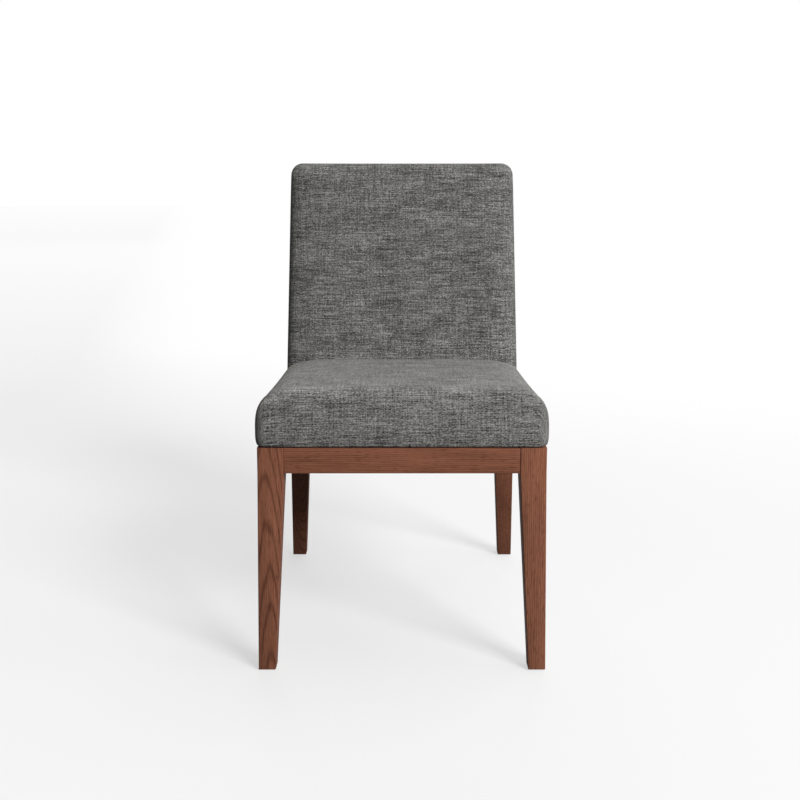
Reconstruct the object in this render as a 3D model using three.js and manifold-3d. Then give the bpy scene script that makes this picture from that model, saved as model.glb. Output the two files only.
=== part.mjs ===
// Parsons chair: a wooden base of four tapered legs and a low apron, an upholstered seat that stands on
// it, and an upholstered back on two posts, which are the rear legs running on upwards.
// Lengths are in millimetres, +Z is up and the front faces -Y. Left and right are as seen from the front.
// The chair is laid out from the front face of its front legs, and the finished group is then moved so
// that the origin lies on the floor under the middle of the whole chair.

import * as THREE from "three";
import { mergeVertices } from "three/addons/utils/BufferGeometryUtils.js";
import Module from "manifold-3d";

const wasm = await Module();
wasm.setup();

// Driving dimensions of the base
const footSpread = 486; // outer width across the feet
const shoulderInset = 4.5; // how far each leg leans in between the floor and the top of the base
const baseHeight = 387; // floor to the top of the legs' blocks and the aprons
const rearFootSetback = 565.5; // front of the front foot to front of the rear foot
const rearBlockSetback = 504.3; // the same, up at the aprons
const footSize = 29; // side of the square foot
const blockSize = 43.5; // side of the square block at the top of a leg
const legEdgeBreak = 1.6; // flat that takes off a leg's long corners
const apronHeight = 43.5;
const apronThickness = 22;
const apronReveal = 1; // how far an apron stands back from the legs' outer faces
const apronEdgeBreak = 1.2;
const tenonThickness = 9;
const tenonLength = 17;
const tenonShoulder = 6; // wood left above and below a tenon

// Driving dimensions of the seat
const seatOverhang = 2.8; // how far the seat's sides stand out past the tops of the legs
const seatProud = 5; // how far the seat's front stands out past the legs
const seatRearThickness = 66.8; // middle of the seat where it meets the back, above the base
const seatFrontRise = 32; // how much higher the seat is at the front
const seatFrontReach = 9; // how far the front's edge rolls in over the top
const seatFrontDrop = 7; // how far it rolls down
const seatSideReachFront = 47; // the same for the sides, at the front
const seatSideDropFront = 55;
const seatSideReachRear = 80; // and at the rear
const seatSideDropRear = 27;
const seatCornerRadius = 15;
const seatSideBulge = 0.6;
const seatDrawIn = 4.5; // how far the sides pull in to the seat's lower edge
const seatDrawInHeight = 12;
const seatCoverThickness = 1.6;
const coverHem = 34; // width of the cover that is folded under the board
const boardThickness = 13;
const boardEdgeSetback = 8; // from the seat's side to the edge of its board
const boardTongueClearance = 7.8; // the board narrows by this much more than the posts call for
const boardTongueLength = 44;
const ventRadius = 11;
const ventSpacing = 105;
const dustCoverThickness = 0.8;
const dustCoverSetback = 3; // from the aprons
const dustCoverClearance = 16; // between the cut-off corners and the seat screws, along an apron

// Driving dimensions of the back, whose front plane leans back by backLean
const backSetback = 479; // front of the front legs to the back's front plane, at the top of the base
const backLean = THREE.MathUtils.degToRad(12.9);
const backLength = 492; // along the lean, from the top of the base
const backOverhang = 4.5; // how far the back's sides stand out past the tops of the legs, at the base
const backTaper = 5.2; // how much narrower each side is at the top
const backThickness = 66;
const backCrown = 4;
const backFrontEdge = 12; // roll of the front edges
const backRearEdge = 7;
const backCornerRadius = 25;
const backCoverThickness = 1.6;
const backSideFoam = 7;
const backTopFoam = 12;
const postWidth = 28;
const postDepth = 31;
const postShoulder = 1; // step from the leg's front face to its post
const postEdgeBreak = 2;
const railHeight = 44;
const railThickness = 22;
const railTenonLength = 15;
const bottomRailRise = 74; // from the top of the base up to the bottom rail
const strapThickness = 1.4;
const strapWidth = 50;
const strapEase = 3; // how far a strap lies flat on both sides of one that it crosses
const strapRamp = 20; // length over which it then comes back to the wood
const strapLap = 24; // how far a strap's ends lie on the wood
const rearLip = 11; // width of the cover that wraps round to the rear, up to the outside panel

// Driving dimensions of the corner blocks, screws and glides
const cornerBlockClearance = 4; // to the leg's inner corner, along an apron
const cornerBlockFace = 50; // width of the face that lies against each apron
const cornerBlockHeight = 26;
const cornerBlockDrop = 2.2; // from the top of the base down to the block
const screwRadius = 2.1;
const screwHeadRadius = 4.2;
const screwHeadHeight = 2.6;
const screwPointLength = 5;
const apronScrewSetback = 27; // from the end of that face that is nearer to the leg
const apronScrewBite = 14; // how deep an apron screw goes into the apron
const seatScrewBite = 10.5; // how deep a seat screw goes into the board
const glideRadius = 9.5;
const glideThickness = 1.2;
const glideEdgeBreak = 0.5;
const glideNailRadius = 1.4;
const glideNailLength = 14;
const glideNailPoint = 3;

// Fits
const seatingGap = 0.3; // left between pieces that lie on each other
const screwClearance = 0.3; // round a screw or nail in its hole
const overrun = 6; // how far a cutting shape runs past what it cuts

// Counts that set how fine the rounded forms are, and how many pieces repeat
const straightSteps = 9;
const cornerSteps = 4;
const rollSteps = 5;
const roundSteps = 12;
const strapCount = 3; // upright, and as many level
const ventCount = 3; // each way
const crownPower = 4; // the higher it is, the flatter a crowned face stays towards its edges
const seatRisePower = 0.78; // the lower it is, the longer the seat stays high before it falls to the back

// Shares of a size, chosen by eye
const innerRingShares = [0.8, 0.5, 0.2]; // of the back's face, from its edge to its middle
const seatRingShares = [0.99, 0.97, 0.94, 0.89, 0.83, 0.76, 0.65, 0.45, 0.2]; // and of the seat's top
const narrowestShare = 0.99; // the last place before a side, as a share of the half width
const widestShare = 0.6; // where the seat is widest, up its side
const drawInShare = 0.25; // of its draw-in, left halfway up the drawn-in strip
const lowScrewShare = 0.35; // height of the screws into the front and rear aprons, up their block
const highScrewShare = 0.65; // height of the screws into the side aprons

// Sizes that follow from the driving dimensions
const apronBottom = baseHeight - apronHeight;
const footBottom = glideThickness + seatingGap;
const footOuter = footSpread / 2;
const footMiddleX = footOuter - footSize / 2;
const blockOuter = footOuter - shoulderInset;
const blockInner = blockOuter - blockSize;
const frontApronInner = apronReveal + apronThickness;
const sideApronInner = blockOuter - apronReveal - apronThickness;
const rearApronInner = rearBlockSetback + blockSize - apronReveal - apronThickness;
const seatHalfWidth = blockOuter + seatOverhang;
const seatRearHeight = baseHeight + seatRearThickness;
const seatBottom = baseHeight + seatingGap;
const hemTop = seatBottom + seatCoverThickness;
const boardBottom = hemTop + seatingGap;
const boardTop = boardBottom + boardThickness;
const leanSlope = Math.tan(backLean);
const backHalfWidth = blockOuter + backOverhang;
const postFront = (rearBlockSetback - backSetback) / Math.cos(backLean) + postShoulder;
const postBack = postFront + postDepth;
const backPadding = backCoverThickness + seatingGap; // from the back's outside to its foam
const postTop = backLength - backPadding - backTopFoam - seatingGap;
const webbingRear = postFront - seatingGap;
const webbingFront = webbingRear - strapThickness - seatingGap - strapThickness;
const topRailBottom = postTop - railHeight;
const bottomRailTop = bottomRailRise + railHeight;
const legProtrusion = blockSize - frontApronInner; // of a leg's block, past the aprons' inner faces
const cornerBlockInset = legProtrusion + legProtrusion + cornerBlockClearance;
const cornerBlockReach = cornerBlockInset + cornerBlockFace;
const apronScrewReach = cornerBlockInset + apronScrewSetback;
const seatScrewReach = (cornerBlockInset + cornerBlockReach) / 4; // the block's middle
const cornerBlockTop = baseHeight - cornerBlockDrop;
const cornerBlockBottom = cornerBlockTop - cornerBlockHeight;
const dustCoverInset = seatScrewReach - dustCoverSetback; // from the cover's edges to a seat screw
const dustCoverCorner = dustCoverInset + dustCoverInset + dustCoverClearance;
const chairFront = -seatProud;
const chairRear =
  backSetback + backThickness * Math.cos(backLean) + (backLength - backRearEdge) * Math.sin(backLean);

// Solids: geometry that is cut and joined

function solidOf(geometry) {
  const bare = geometry.clone();
  bare.deleteAttribute("normal");
  bare.deleteAttribute("uv");
  const merged = mergeVertices(bare);
  const mesh = new wasm.Mesh({
    numProp: 3,
    vertProperties: new Float32Array(merged.attributes.position.array),
    triVerts: new Uint32Array(merged.index.array),
  });
  return new wasm.Manifold(mesh);
}

function geometryOf(solid) {
  const mesh = solid.getMesh();
  const geometry = new THREE.BufferGeometry();
  geometry.setAttribute("position", new THREE.BufferAttribute(mesh.vertProperties, 3));
  geometry.setIndex(new THREE.BufferAttribute(mesh.triVerts, 1));
  geometry.computeVertexNormals();
  return geometry;
}

function cut(geometry, tools) {
  let solid = solidOf(geometry);
  for (const tool of tools) {
    solid = solid.subtract(solidOf(tool));
  }
  return geometryOf(solid);
}

function join(first, second) {
  return geometryOf(solidOf(first).add(solidOf(second)));
}

function block(x0, x1, y0, y1, z0, z1) {
  const geometry = new THREE.BoxGeometry(x1 - x0, y1 - y0, z1 - z0);
  return geometry.translate((x0 + x1) / 2, (y0 + y1) / 2, (z0 + z1) / 2);
}

// A block that reaches the same distance to the left and to the right
function centredBlock(halfWidth, y0, y1, z0, z1) {
  return block(-halfWidth, halfWidth, y0, y1, z0, z1);
}

// An outline of [x, y] points pulled up along Z
function prism(outline, height) {
  const shape = new THREE.Shape(outline.map(([x, y]) => new THREE.Vector2(x, y)));
  return new THREE.ExtrudeGeometry(shape, { depth: height, bevelEnabled: false });
}

// A solid turned about Z from a profile of [radius, height] points
function turned(profile) {
  const points = profile.map(([radius, height]) => new THREE.Vector2(radius, height));
  return new THREE.LatheGeometry(points, roundSteps).rotateX(Math.PI / 2);
}

// A closed form through rings of points, each ring anticlockwise seen from the end of the stack
function loft(rings) {
  const size = rings[0].length;
  const points = [];
  const faces = [];
  for (const ring of rings) {
    for (const point of ring) {
      points.push(point.x, point.y, point.z);
    }
  }
  for (let level = 0; level + 1 < rings.length; level += 1) {
    const lower = level * size;
    const upper = lower + size;
    for (let j = 0; j < size; j += 1) {
      const next = (j + 1) % size;
      faces.push(lower + j, lower + next, upper + next);
      faces.push(lower + j, upper + next, upper + j);
    }
  }
  const last = rings.length - 1;
  closeEnd(points, faces, rings[0], 0, true);
  closeEnd(points, faces, rings[last], last * size, false);
  const geometry = new THREE.BufferGeometry();
  geometry.setAttribute("position", new THREE.Float32BufferAttribute(points, 3));
  geometry.setIndex(faces);
  geometry.computeVertexNormals();
  return geometry;
}

// Closes an end ring with triangles round its middle
function closeEnd(points, faces, ring, start, atStart) {
  const size = ring.length;
  const middle = ring.reduce((sum, point) => sum.add(point), new THREE.Vector3());
  middle.divideScalar(size);
  const hub = points.length / 3;
  points.push(middle.x, middle.y, middle.z);
  for (let j = 0; j < size; j += 1) {
    const next = (j + 1) % size;
    if (atStart) {
      faces.push(hub, start + next, start + j);
    } else {
      faces.push(hub, start + j, start + next);
    }
  }
}

// The other side's copy of a piece, with its faces turned back to point out
function mirrored(geometry) {
  const copy = geometry.clone().applyMatrix4(new THREE.Matrix4().makeScale(-1, 1, 1));
  const index = copy.index;
  for (let k = 0; k < index.count; k += 3) {
    const second = index.getX(k + 1);
    index.setX(k + 1, index.getX(k + 2));
    index.setX(k + 2, second);
  }
  copy.computeVertexNormals();
  return copy;
}

// Outlines

// Points from one place towards the next, without the last one
function stretch(from, to, steps) {
  const points = [];
  for (let k = 0; k < steps; k += 1) {
    const share = k / steps;
    points.push([from[0] + (to[0] - from[0]) * share, from[1] + (to[1] - from[1]) * share]);
  }
  return points;
}

// A quarter circle, anticlockwise from its start angle, without its last point
function quarter(x, y, radius, startAngle) {
  const points = [];
  for (let k = 0; k < cornerSteps; k += 1) {
    const angle = startAngle + ((Math.PI / 2) * k) / cornerSteps;
    points.push([x + radius * Math.cos(angle), y + radius * Math.sin(angle)]);
  }
  return points;
}

// A level square outline with its corners taken off
function brokenSquare(x0, x1, y0, y1, z, edge) {
  return [
    [x0 + edge, y0],
    [x1 - edge, y0],
    [x1, y0 + edge],
    [x1, y1 - edge],
    [x1 - edge, y1],
    [x0 + edge, y1],
    [x0, y1 - edge],
    [x0, y0 + edge],
  ].map(([x, y]) => new THREE.Vector3(x, y, z));
}

// How far a soft edge has rolled over at each of its steps, as shares of its reach and of its drop
function rollShares() {
  const shares = [];
  for (let k = 0; k <= rollSteps; k += 1) {
    const angle = ((Math.PI / 2) * k) / rollSteps;
    shares.push([1 - Math.cos(angle), 1 - Math.sin(angle)]);
  }
  return shares;
}

// A crowned face falls away slowly at first and quickly near its edges
function crownFall(acrossShare, alongShare) {
  return 1 - (1 - acrossShare ** crownPower) * (1 - alongShare ** crownPower);
}

// Materials

function finish(color, roughness, metalness) {
  return () => new THREE.MeshStandardMaterial({ color, roughness, metalness });
}

const stainedWood = finish(0x7a4c3c, 0.5, 0);
const plainWood = finish(0xb99a72, 0.7, 0);
const plywood = finish(0xc2a57c, 0.75, 0);
const melangeFabric = finish(0x6b6a67, 0.95, 0);
const foam = finish(0xd8cfae, 0.95, 0);
const wadding = finish(0xe6e4dd, 0.95, 0);
const elasticWebbing = finish(0x3a3a3a, 0.85, 0);
const dustCloth = finish(0x1d1d1f, 0.95, 0);
const zincSteel = finish(0x9a9a98, 0.35, 1);
const nylon = finish(0x2b2b2b, 0.5, 0);

function piece(name, geometry, makeMaterial) {
  const mesh = new THREE.Mesh(geometry, makeMaterial());
  mesh.name = name;
  return mesh;
}

function pair(name, rightGeometry, makeMaterial) {
  return [
    piece(name + "_left", mirrored(rightGeometry), makeMaterial),
    piece(name + "_right", rightGeometry, makeMaterial),
  ];
}

// The back's own frame: y runs from its front plane to its rear, and z up along the lean
const back = new THREE.Group();
back.position.set(0, backSetback, baseHeight);
back.rotation.x = -backLean;
back.updateMatrix();
const chairToBack = back.matrix.clone().invert();

// Sides of the back and of its posts at a height along the lean
function backHalfWidthAt(z) {
  return backHalfWidth - (backTaper * z) / backLength;
}

function postOuterAt(z) {
  return backHalfWidthAt(z) - backPadding - backSideFoam - seatingGap;
}

function postInnerAt(z) {
  return postOuterAt(z) - postWidth;
}

const boardTongueHalfWidth = postInnerAt(0) - boardTongueClearance;

// Screws of one corner: the head's outer end is at its place, and the point lies along its direction

const corners = [];
for (const [endName, apronFace, inward] of [
  ["front", frontApronInner, 1],
  ["rear", rearApronInner, -1],
]) {
  for (const [sideName, side] of [
    ["left", -1],
    ["right", 1],
  ]) {
    corners.push({ name: endName + "_" + sideName, apronFace, inward, side });
  }
}

// A place measured from the corner where the aprons' inner faces meet
function fromCorner(corner, alongCross, alongSide) {
  return [
    corner.side * (sideApronInner - alongCross),
    corner.apronFace + corner.inward * alongSide,
  ];
}

const apronScrewSink = cornerBlockReach - apronScrewReach - screwHeadRadius - screwClearance;
const apronScrewLength = apronScrewSink + apronScrewBite;
const seatScrewStart = cornerBlockBottom - seatingGap - screwHeadHeight;
const seatScrewLength = boardBottom + seatScrewBite - seatScrewStart;

function crossScrew(corner) {
  const [x, y] = fromCorner(corner, apronScrewReach, apronScrewSink);
  const z = cornerBlockBottom + cornerBlockHeight * lowScrewShare;
  const direction = new THREE.Vector3(0, -corner.inward, 0);
  return { place: new THREE.Vector3(x, y, z), direction, length: apronScrewLength };
}

function sideScrew(corner) {
  const [x, y] = fromCorner(corner, apronScrewSink, apronScrewReach);
  const z = cornerBlockBottom + cornerBlockHeight * highScrewShare;
  const direction = new THREE.Vector3(corner.side, 0, 0);
  return { place: new THREE.Vector3(x, y, z), direction, length: apronScrewLength };
}

function seatScrew(corner) {
  const [x, y] = fromCorner(corner, seatScrewReach, seatScrewReach);
  const direction = new THREE.Vector3(0, 0, 1);
  return { place: new THREE.Vector3(x, y, seatScrewStart), direction, length: seatScrewLength };
}

// Lays a shape made with its axis along +Z, from the head at zero, along a screw's direction
function driven(geometry, screw) {
  const turn = new THREE.Quaternion().setFromUnitVectors(new THREE.Vector3(0, 0, 1), screw.direction);
  return geometry.applyQuaternion(turn).translate(screw.place.x, screw.place.y, screw.place.z);
}

function screwGeometry(screw) {
  const profile = [
    [0, 0],
    [screwRadius, 0],
    [screwHeadRadius, screwHeadHeight / 2],
    [screwHeadRadius, screwHeadHeight],
    [screwRadius, screwHeadHeight],
    [screwRadius, screw.length - screwPointLength],
    [0, screw.length],
  ];
  return driven(turned(profile), screw);
}

function shankHole(screw) {
  const radius = screwRadius + screwClearance;
  const end = screw.length + seatingGap;
  return driven(
    turned([
      [0, 0],
      [radius, 0],
      [radius, end],
      [0, end],
    ]),
    screw,
  );
}

// The wider hole that the head lies in, open towards the side that the screw comes from
function headHole(screw) {
  const radius = screwHeadRadius + screwClearance;
  const end = screwHeadHeight + seatingGap;
  return driven(
    turned([
      [0, -cornerBlockReach],
      [radius, -cornerBlockReach],
      [radius, end],
      [0, end],
    ]),
    screw,
  );
}

function cornerBlockPiece(corner) {
  const outline = [
    fromCorner(corner, cornerBlockInset, seatingGap),
    fromCorner(corner, cornerBlockReach, seatingGap),
    fromCorner(corner, seatingGap, cornerBlockReach),
    fromCorner(corner, seatingGap, cornerBlockInset),
  ];
  const body = prism(outline, cornerBlockHeight).translate(0, 0, cornerBlockBottom);
  const cross = crossScrew(corner);
  const side = sideScrew(corner);
  const holes = [shankHole(cross), headHole(cross), shankHole(side), headHole(side)];
  holes.push(shankHole(seatScrew(corner)));
  return piece("corner_block_" + corner.name, cut(body, holes), plainWood);
}

function cornerPieces(corner) {
  return [
    cornerBlockPiece(corner),
    piece("cross_apron_screw_" + corner.name, screwGeometry(crossScrew(corner)), zincSteel),
    piece("side_apron_screw_" + corner.name, screwGeometry(sideScrew(corner)), zincSteel),
    piece("seat_screw_" + corner.name, screwGeometry(seatScrew(corner)), zincSteel),
  ];
}

// Legs: a square foot tapers up to a square block, which has mortises for two aprons

function legBody(footFront, blockFront) {
  const outerAt = (z) => footOuter - (shoulderInset * z) / baseHeight;
  const sections = [
    [footBottom, outerAt(footBottom) - footSize, footFront, footSize],
    [apronBottom, blockInner, blockFront, blockSize],
    [baseHeight, blockInner, blockFront, blockSize],
  ];
  const rings = sections.map(([z, inner, front, depth]) =>
    brokenSquare(inner, outerAt(z), front, front + depth, z, legEdgeBreak),
  );
  return loft(rings);
}

const mortiseHalf = tenonThickness / 2 + seatingGap;
const mortiseDepth = tenonLength + seatingGap;
const mortiseBottom = apronBottom + tenonShoulder - seatingGap;
const mortiseTop = baseHeight - tenonShoulder + seatingGap;

// The mortise for the front or the rear apron
function crossMortise(apronFront) {
  const middle = apronFront + apronThickness / 2;
  return block(
    blockInner - overrun,
    blockInner + mortiseDepth,
    middle - mortiseHalf,
    middle + mortiseHalf,
    mortiseBottom,
    mortiseTop,
  );
}

// The mortise for a side apron, between two places along Y
function sideMortise(y0, y1) {
  const middle = sideApronInner + apronThickness / 2;
  return block(middle - mortiseHalf, middle + mortiseHalf, y0, y1, mortiseBottom, mortiseTop);
}

function nailHole(footFront) {
  const end = footBottom + glideNailLength;
  const profile = [
    [0, -overrun],
    [glideNailRadius + screwClearance, -overrun],
    [glideNailRadius + screwClearance, end],
    [0, end],
  ];
  return turned(profile).translate(footMiddleX, footFront + footSize / 2, 0);
}

function frontLegGeometry() {
  return cut(legBody(0, 0), [
    crossMortise(apronReveal),
    sideMortise(blockSize - mortiseDepth, blockSize + overrun),
    nailHole(0),
  ]);
}

// A post in the back's own frame. Its lower end is level and dips a little into the leg's block.
function postGeometry() {
  const foot = brokenSquare(postInnerAt(0), postOuterAt(0), postFront, postBack, 0, postEdgeBreak);
  const head = foot.map((point) => {
    const x = point.x - (backTaper * postTop) / backLength;
    return new THREE.Vector3(x, point.y, postTop);
  });
  for (const point of foot) {
    point.z = (point.y - postShoulder) * leanSlope;
  }
  return loft([foot, head]);
}

function railMortise(railBottom) {
  const inner = postInnerAt(railBottom);
  const middle = postFront + railThickness / 2;
  return block(
    inner - overrun,
    inner + railTenonLength + seatingGap,
    middle - mortiseHalf,
    middle + mortiseHalf,
    railBottom + tenonShoulder - seatingGap,
    railBottom + railHeight - tenonShoulder + seatingGap,
  );
}

function rearLegGeometry() {
  const leg = legBody(rearFootSetback, rearBlockSetback);
  const post = cut(postGeometry(), [railMortise(topRailBottom), railMortise(bottomRailRise)]);
  return cut(join(leg, post.applyMatrix4(back.matrix)), [
    crossMortise(rearApronInner),
    sideMortise(rearBlockSetback - overrun, rearBlockSetback + mortiseDepth),
    nailHole(rearFootSetback),
  ]);
}

function glidePiece(name, side, footFront) {
  const profile = [
    [0, 0],
    [glideRadius - glideEdgeBreak, 0],
    [glideRadius, glideEdgeBreak],
    [glideRadius, glideThickness],
    [glideNailRadius, glideThickness],
    [glideNailRadius, glideNailLength - glideNailPoint],
    [0, glideNailLength],
  ];
  const glide = piece("floor_glide_" + name, turned(profile), nylon);
  glide.position.set(side * footMiddleX, footFront + footSize / 2, 0);
  return glide;
}

function glidePieces() {
  return [
    glidePiece("front_left", -1, 0),
    glidePiece("front_right", 1, 0),
    glidePiece("rear_left", -1, rearFootSetback),
    glidePiece("rear_right", 1, rearFootSetback),
  ];
}

// Aprons: boards on edge with a tenon at each end and their outer edges broken

// The section of an apron, with its outer face at zero
function apronSection() {
  return [
    [apronEdgeBreak, 0],
    [apronThickness, 0],
    [apronThickness, apronHeight],
    [apronEdgeBreak, apronHeight],
    [0, apronHeight - apronEdgeBreak],
    [0, apronEdgeBreak],
  ];
}

// An apron along X from -half to half, with its outer face towards -Y at zero
function apronGeometry(half) {
  const board = prism(apronSection(), half + half)
    .rotateX(Math.PI / 2)
    .rotateZ(Math.PI / 2)
    .translate(-half, 0, apronBottom);
  const middle = apronThickness / 2;
  const tenon = centredBlock(
    half + tenonLength,
    middle - tenonThickness / 2,
    middle + tenonThickness / 2,
    apronBottom + tenonShoulder,
    baseHeight - tenonShoulder,
  );
  return join(board, tenon);
}

function crossApronPiece(name, placed, inward) {
  const holes = corners.filter((corner) => corner.inward === inward).map((c) => shankHole(crossScrew(c)));
  return piece(name, cut(placed, holes), stainedWood);
}

function apronPieces() {
  const half = blockInner - seatingGap;
  const sideHalf = (rearBlockSetback - blockSize) / 2 - seatingGap;
  const sideMiddle = (rearBlockSetback + blockSize) / 2;
  const front = apronGeometry(half).translate(0, apronReveal, 0);
  const rear = apronGeometry(half)
    .rotateZ(Math.PI)
    .translate(0, rearApronInner + apronThickness, 0);
  const side = apronGeometry(sideHalf)
    .rotateZ(Math.PI / 2)
    .translate(sideApronInner + apronThickness, sideMiddle, 0);
  const sideHoles = corners.filter((corner) => corner.side > 0).map((c) => shankHole(sideScrew(c)));
  return [
    crossApronPiece("front_apron", front, 1),
    crossApronPiece("rear_apron", rear, -1),
    ...pair("side_apron", cut(side, sideHoles), stainedWood),
  ];
}

// Seat: a crowned form whose rear lies against the leaning back

const seatRearPlane = backSetback - seatingGap;

// Places from one side of the seat to the other, as shares of a half width. They lie closer together
// where the sides roll over the top.
function acrossShares(halfWidth, reach) {
  const flat = seatHalfWidth - reach;
  const rolled = rollShares()
    .map(([, dropShare]) => (flat + reach * (1 - dropShare)) / halfWidth)
    .filter((share) => share < narrowestShare);
  const level = [];
  for (let k = 1; k < straightSteps; k += 1) {
    level.push(rolled[0] * ((2 * k) / straightSteps - 1));
  }
  return [-1, ...rolled.map((share) => -share).toReversed(), ...level, ...rolled, 1];
}

const frontShares = acrossShares(seatHalfWidth - seatCornerRadius, seatSideReachFront);
const rearShares = acrossShares(seatHalfWidth, seatSideReachRear);

// One ring of the seat, drawn in at the sides and at the front, as [x, y] places at the base
function seatOutline(sideInset, frontInset, rear) {
  const half = seatHalfWidth - sideInset;
  const front = frontInset - seatProud;
  const radius = seatCornerRadius;
  const across = (shares, reach, y) => shares.slice(0, -1).map((share) => [share * reach, y]);
  return [
    ...across(rearShares, -half, rear),
    ...stretch([-half, rear], [-half, front + radius], straightSteps),
    ...quarter(radius - half, front + radius, radius, Math.PI),
    ...across(frontShares, half - radius, front),
    ...quarter(half - radius, front + radius, radius, -Math.PI / 2),
    ...stretch([half, front + radius], [half, rear], straightSteps),
  ];
}

function rearwardShare(y) {
  return (y + seatProud) / (seatRearPlane + seatProud);
}

function between(front, rear, share) {
  return front + (rear - front) * share;
}

// Height of the seat's surface at a place at the base, with its rolled sides
function seatSurface(x, y) {
  const share = Math.min(1, rearwardShare(y));
  const reach = between(seatSideReachFront, seatSideReachRear, share);
  const drop = between(seatSideDropFront, seatSideDropRear, share);
  const over = Math.min(1, Math.max(0, (Math.abs(x) - seatHalfWidth + reach) / reach));
  const fall = drop * (1 - Math.sqrt(1 - over * over));
  return seatRearHeight + seatFrontRise * (1 - share) ** seatRisePower - fall;
}

// Raises an outline to the height that is given for each place, and leans it back with the rear plane
function raised(outline, heightAt) {
  return outline.map(([x, y]) => {
    const z = heightAt(x, y);
    return new THREE.Vector3(x, y + (z - baseHeight) * leanSlope * rearwardShare(y), z);
  });
}

// The seat's form, drawn in all round by a skin
function seatForm(skin) {
  const bottom = seatBottom + skin;
  const rear = seatRearPlane - skin;
  const ring = (sideInset, frontInset, heightAt) =>
    raised(seatOutline(skin + sideInset, skin + frontInset, rear), heightAt);
  const surface = (x, y) => seatSurface(Math.abs(x) + skin, y) - skin;
  const edgeTop = (x, y) => surface(x, y) - seatFrontDrop;
  const widest = (x, y) => bottom + (edgeTop(x, y) - bottom) * widestShare;
  const rings = [
    ring(seatDrawIn, seatDrawIn, () => bottom),
    ring(seatDrawIn * drawInShare, seatDrawIn * drawInShare, () => bottom + seatDrawInHeight / 2),
    ring(0, 0, widest),
  ];
  for (const [reachShare, dropShare] of rollShares()) {
    const frontInset = seatSideBulge + (seatFrontReach - seatSideBulge) * reachShare;
    rings.push(ring(seatSideBulge, frontInset, (x, y) => surface(x, y) - seatFrontDrop * dropShare));
  }
  const middle = (rear - seatProud) / 2;
  for (const share of seatRingShares) {
    const outline = seatOutline(skin + seatSideBulge, skin + seatFrontReach, rear);
    const inner = outline.map(([x, y]) => [x * share, middle + (y - middle) * share]);
    rings.push(raised(inner, surface));
  }
  return loft(rings);
}

// The board's outline: full width under the seat, and a tongue between the posts. A margin widens it.
function boardOutline(margin) {
  const half = seatHalfWidth - boardEdgeSetback + margin;
  const tongue = boardTongueHalfWidth + margin;
  const front = boardEdgeSetback - seatProud - margin;
  const notch = backSetback - boardEdgeSetback + margin;
  const rear = backSetback + boardTongueLength + margin;
  return [
    ...quarter(seatCornerRadius - half, front + seatCornerRadius, seatCornerRadius, Math.PI),
    ...quarter(half - seatCornerRadius, front + seatCornerRadius, seatCornerRadius, -Math.PI / 2),
    [half, front + seatCornerRadius],
    [half, notch],
    [tongue, notch],
    [tongue, rear],
    [-tongue, rear],
    [-tongue, notch],
    [-half, notch],
  ];
}

function ventHoles() {
  const holes = [];
  const centre = (ventCount - 1) / 2;
  for (let row = 0; row < ventCount; row += 1) {
    for (let column = 0; column < ventCount; column += 1) {
      const hole = new THREE.CylinderGeometry(ventRadius, ventRadius, boardThickness + overrun, roundSteps);
      const x = (column - centre) * ventSpacing;
      const y = backSetback / 2 + (row - centre) * ventSpacing;
      holes.push(hole.rotateX(Math.PI / 2).translate(x, y, (boardBottom + boardTop) / 2));
    }
  }
  return holes;
}

// The space that the board's tongue takes up under the back
function tongueSpace() {
  return centredBlock(
    boardTongueHalfWidth + seatingGap,
    backSetback - boardEdgeSetback,
    backSetback + boardTongueLength + seatingGap,
    boardBottom - seatingGap - seatCoverThickness - overrun,
    boardTop + seatingGap,
  );
}

function seatCoverPiece() {
  const opening = centredBlock(
    seatHalfWidth - coverHem,
    coverHem - seatProud,
    seatRearPlane - coverHem,
    seatBottom - overrun,
    hemTop + seatingGap,
  );
  const shell = cut(seatForm(0), [seatForm(seatCoverThickness), opening, tongueSpace()]);
  return piece("seat_cover", shell, melangeFabric);
}

function seatFoamPiece() {
  const height = boardThickness + seatingGap + overrun;
  const boardSpace = prism(boardOutline(seatingGap), height);
  boardSpace.translate(0, 0, boardTop + seatingGap - height);
  const form = seatForm(seatCoverThickness + seatingGap);
  return piece("seat_foam", cut(form, [boardSpace]), foam);
}

function seatBoardPiece() {
  const panel = prism(boardOutline(0), boardThickness).translate(0, 0, boardBottom);
  const pilots = corners.map((corner) => shankHole(seatScrew(corner)));
  return piece("seat_board", cut(panel, [...ventHoles(), ...pilots]), plywood);
}

function dustCoverPiece() {
  const half = sideApronInner - dustCoverSetback;
  const front = frontApronInner + dustCoverSetback;
  const rear = rearApronInner - dustCoverSetback;
  const outline = [
    [-half, front + dustCoverCorner],
    [dustCoverCorner - half, front],
    [half - dustCoverCorner, front],
    [half, front + dustCoverCorner],
    [half, rear - dustCoverCorner],
    [half - dustCoverCorner, rear],
    [dustCoverCorner - half, rear],
    [-half, rear - dustCoverCorner],
  ];
  const sheet = prism(outline, dustCoverThickness);
  sheet.translate(0, 0, seatBottom - seatingGap - dustCoverThickness);
  return piece("dust_cover", sheet, dustCloth);
}

// Back: all its pieces but the posts are made in the back's own frame

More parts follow.
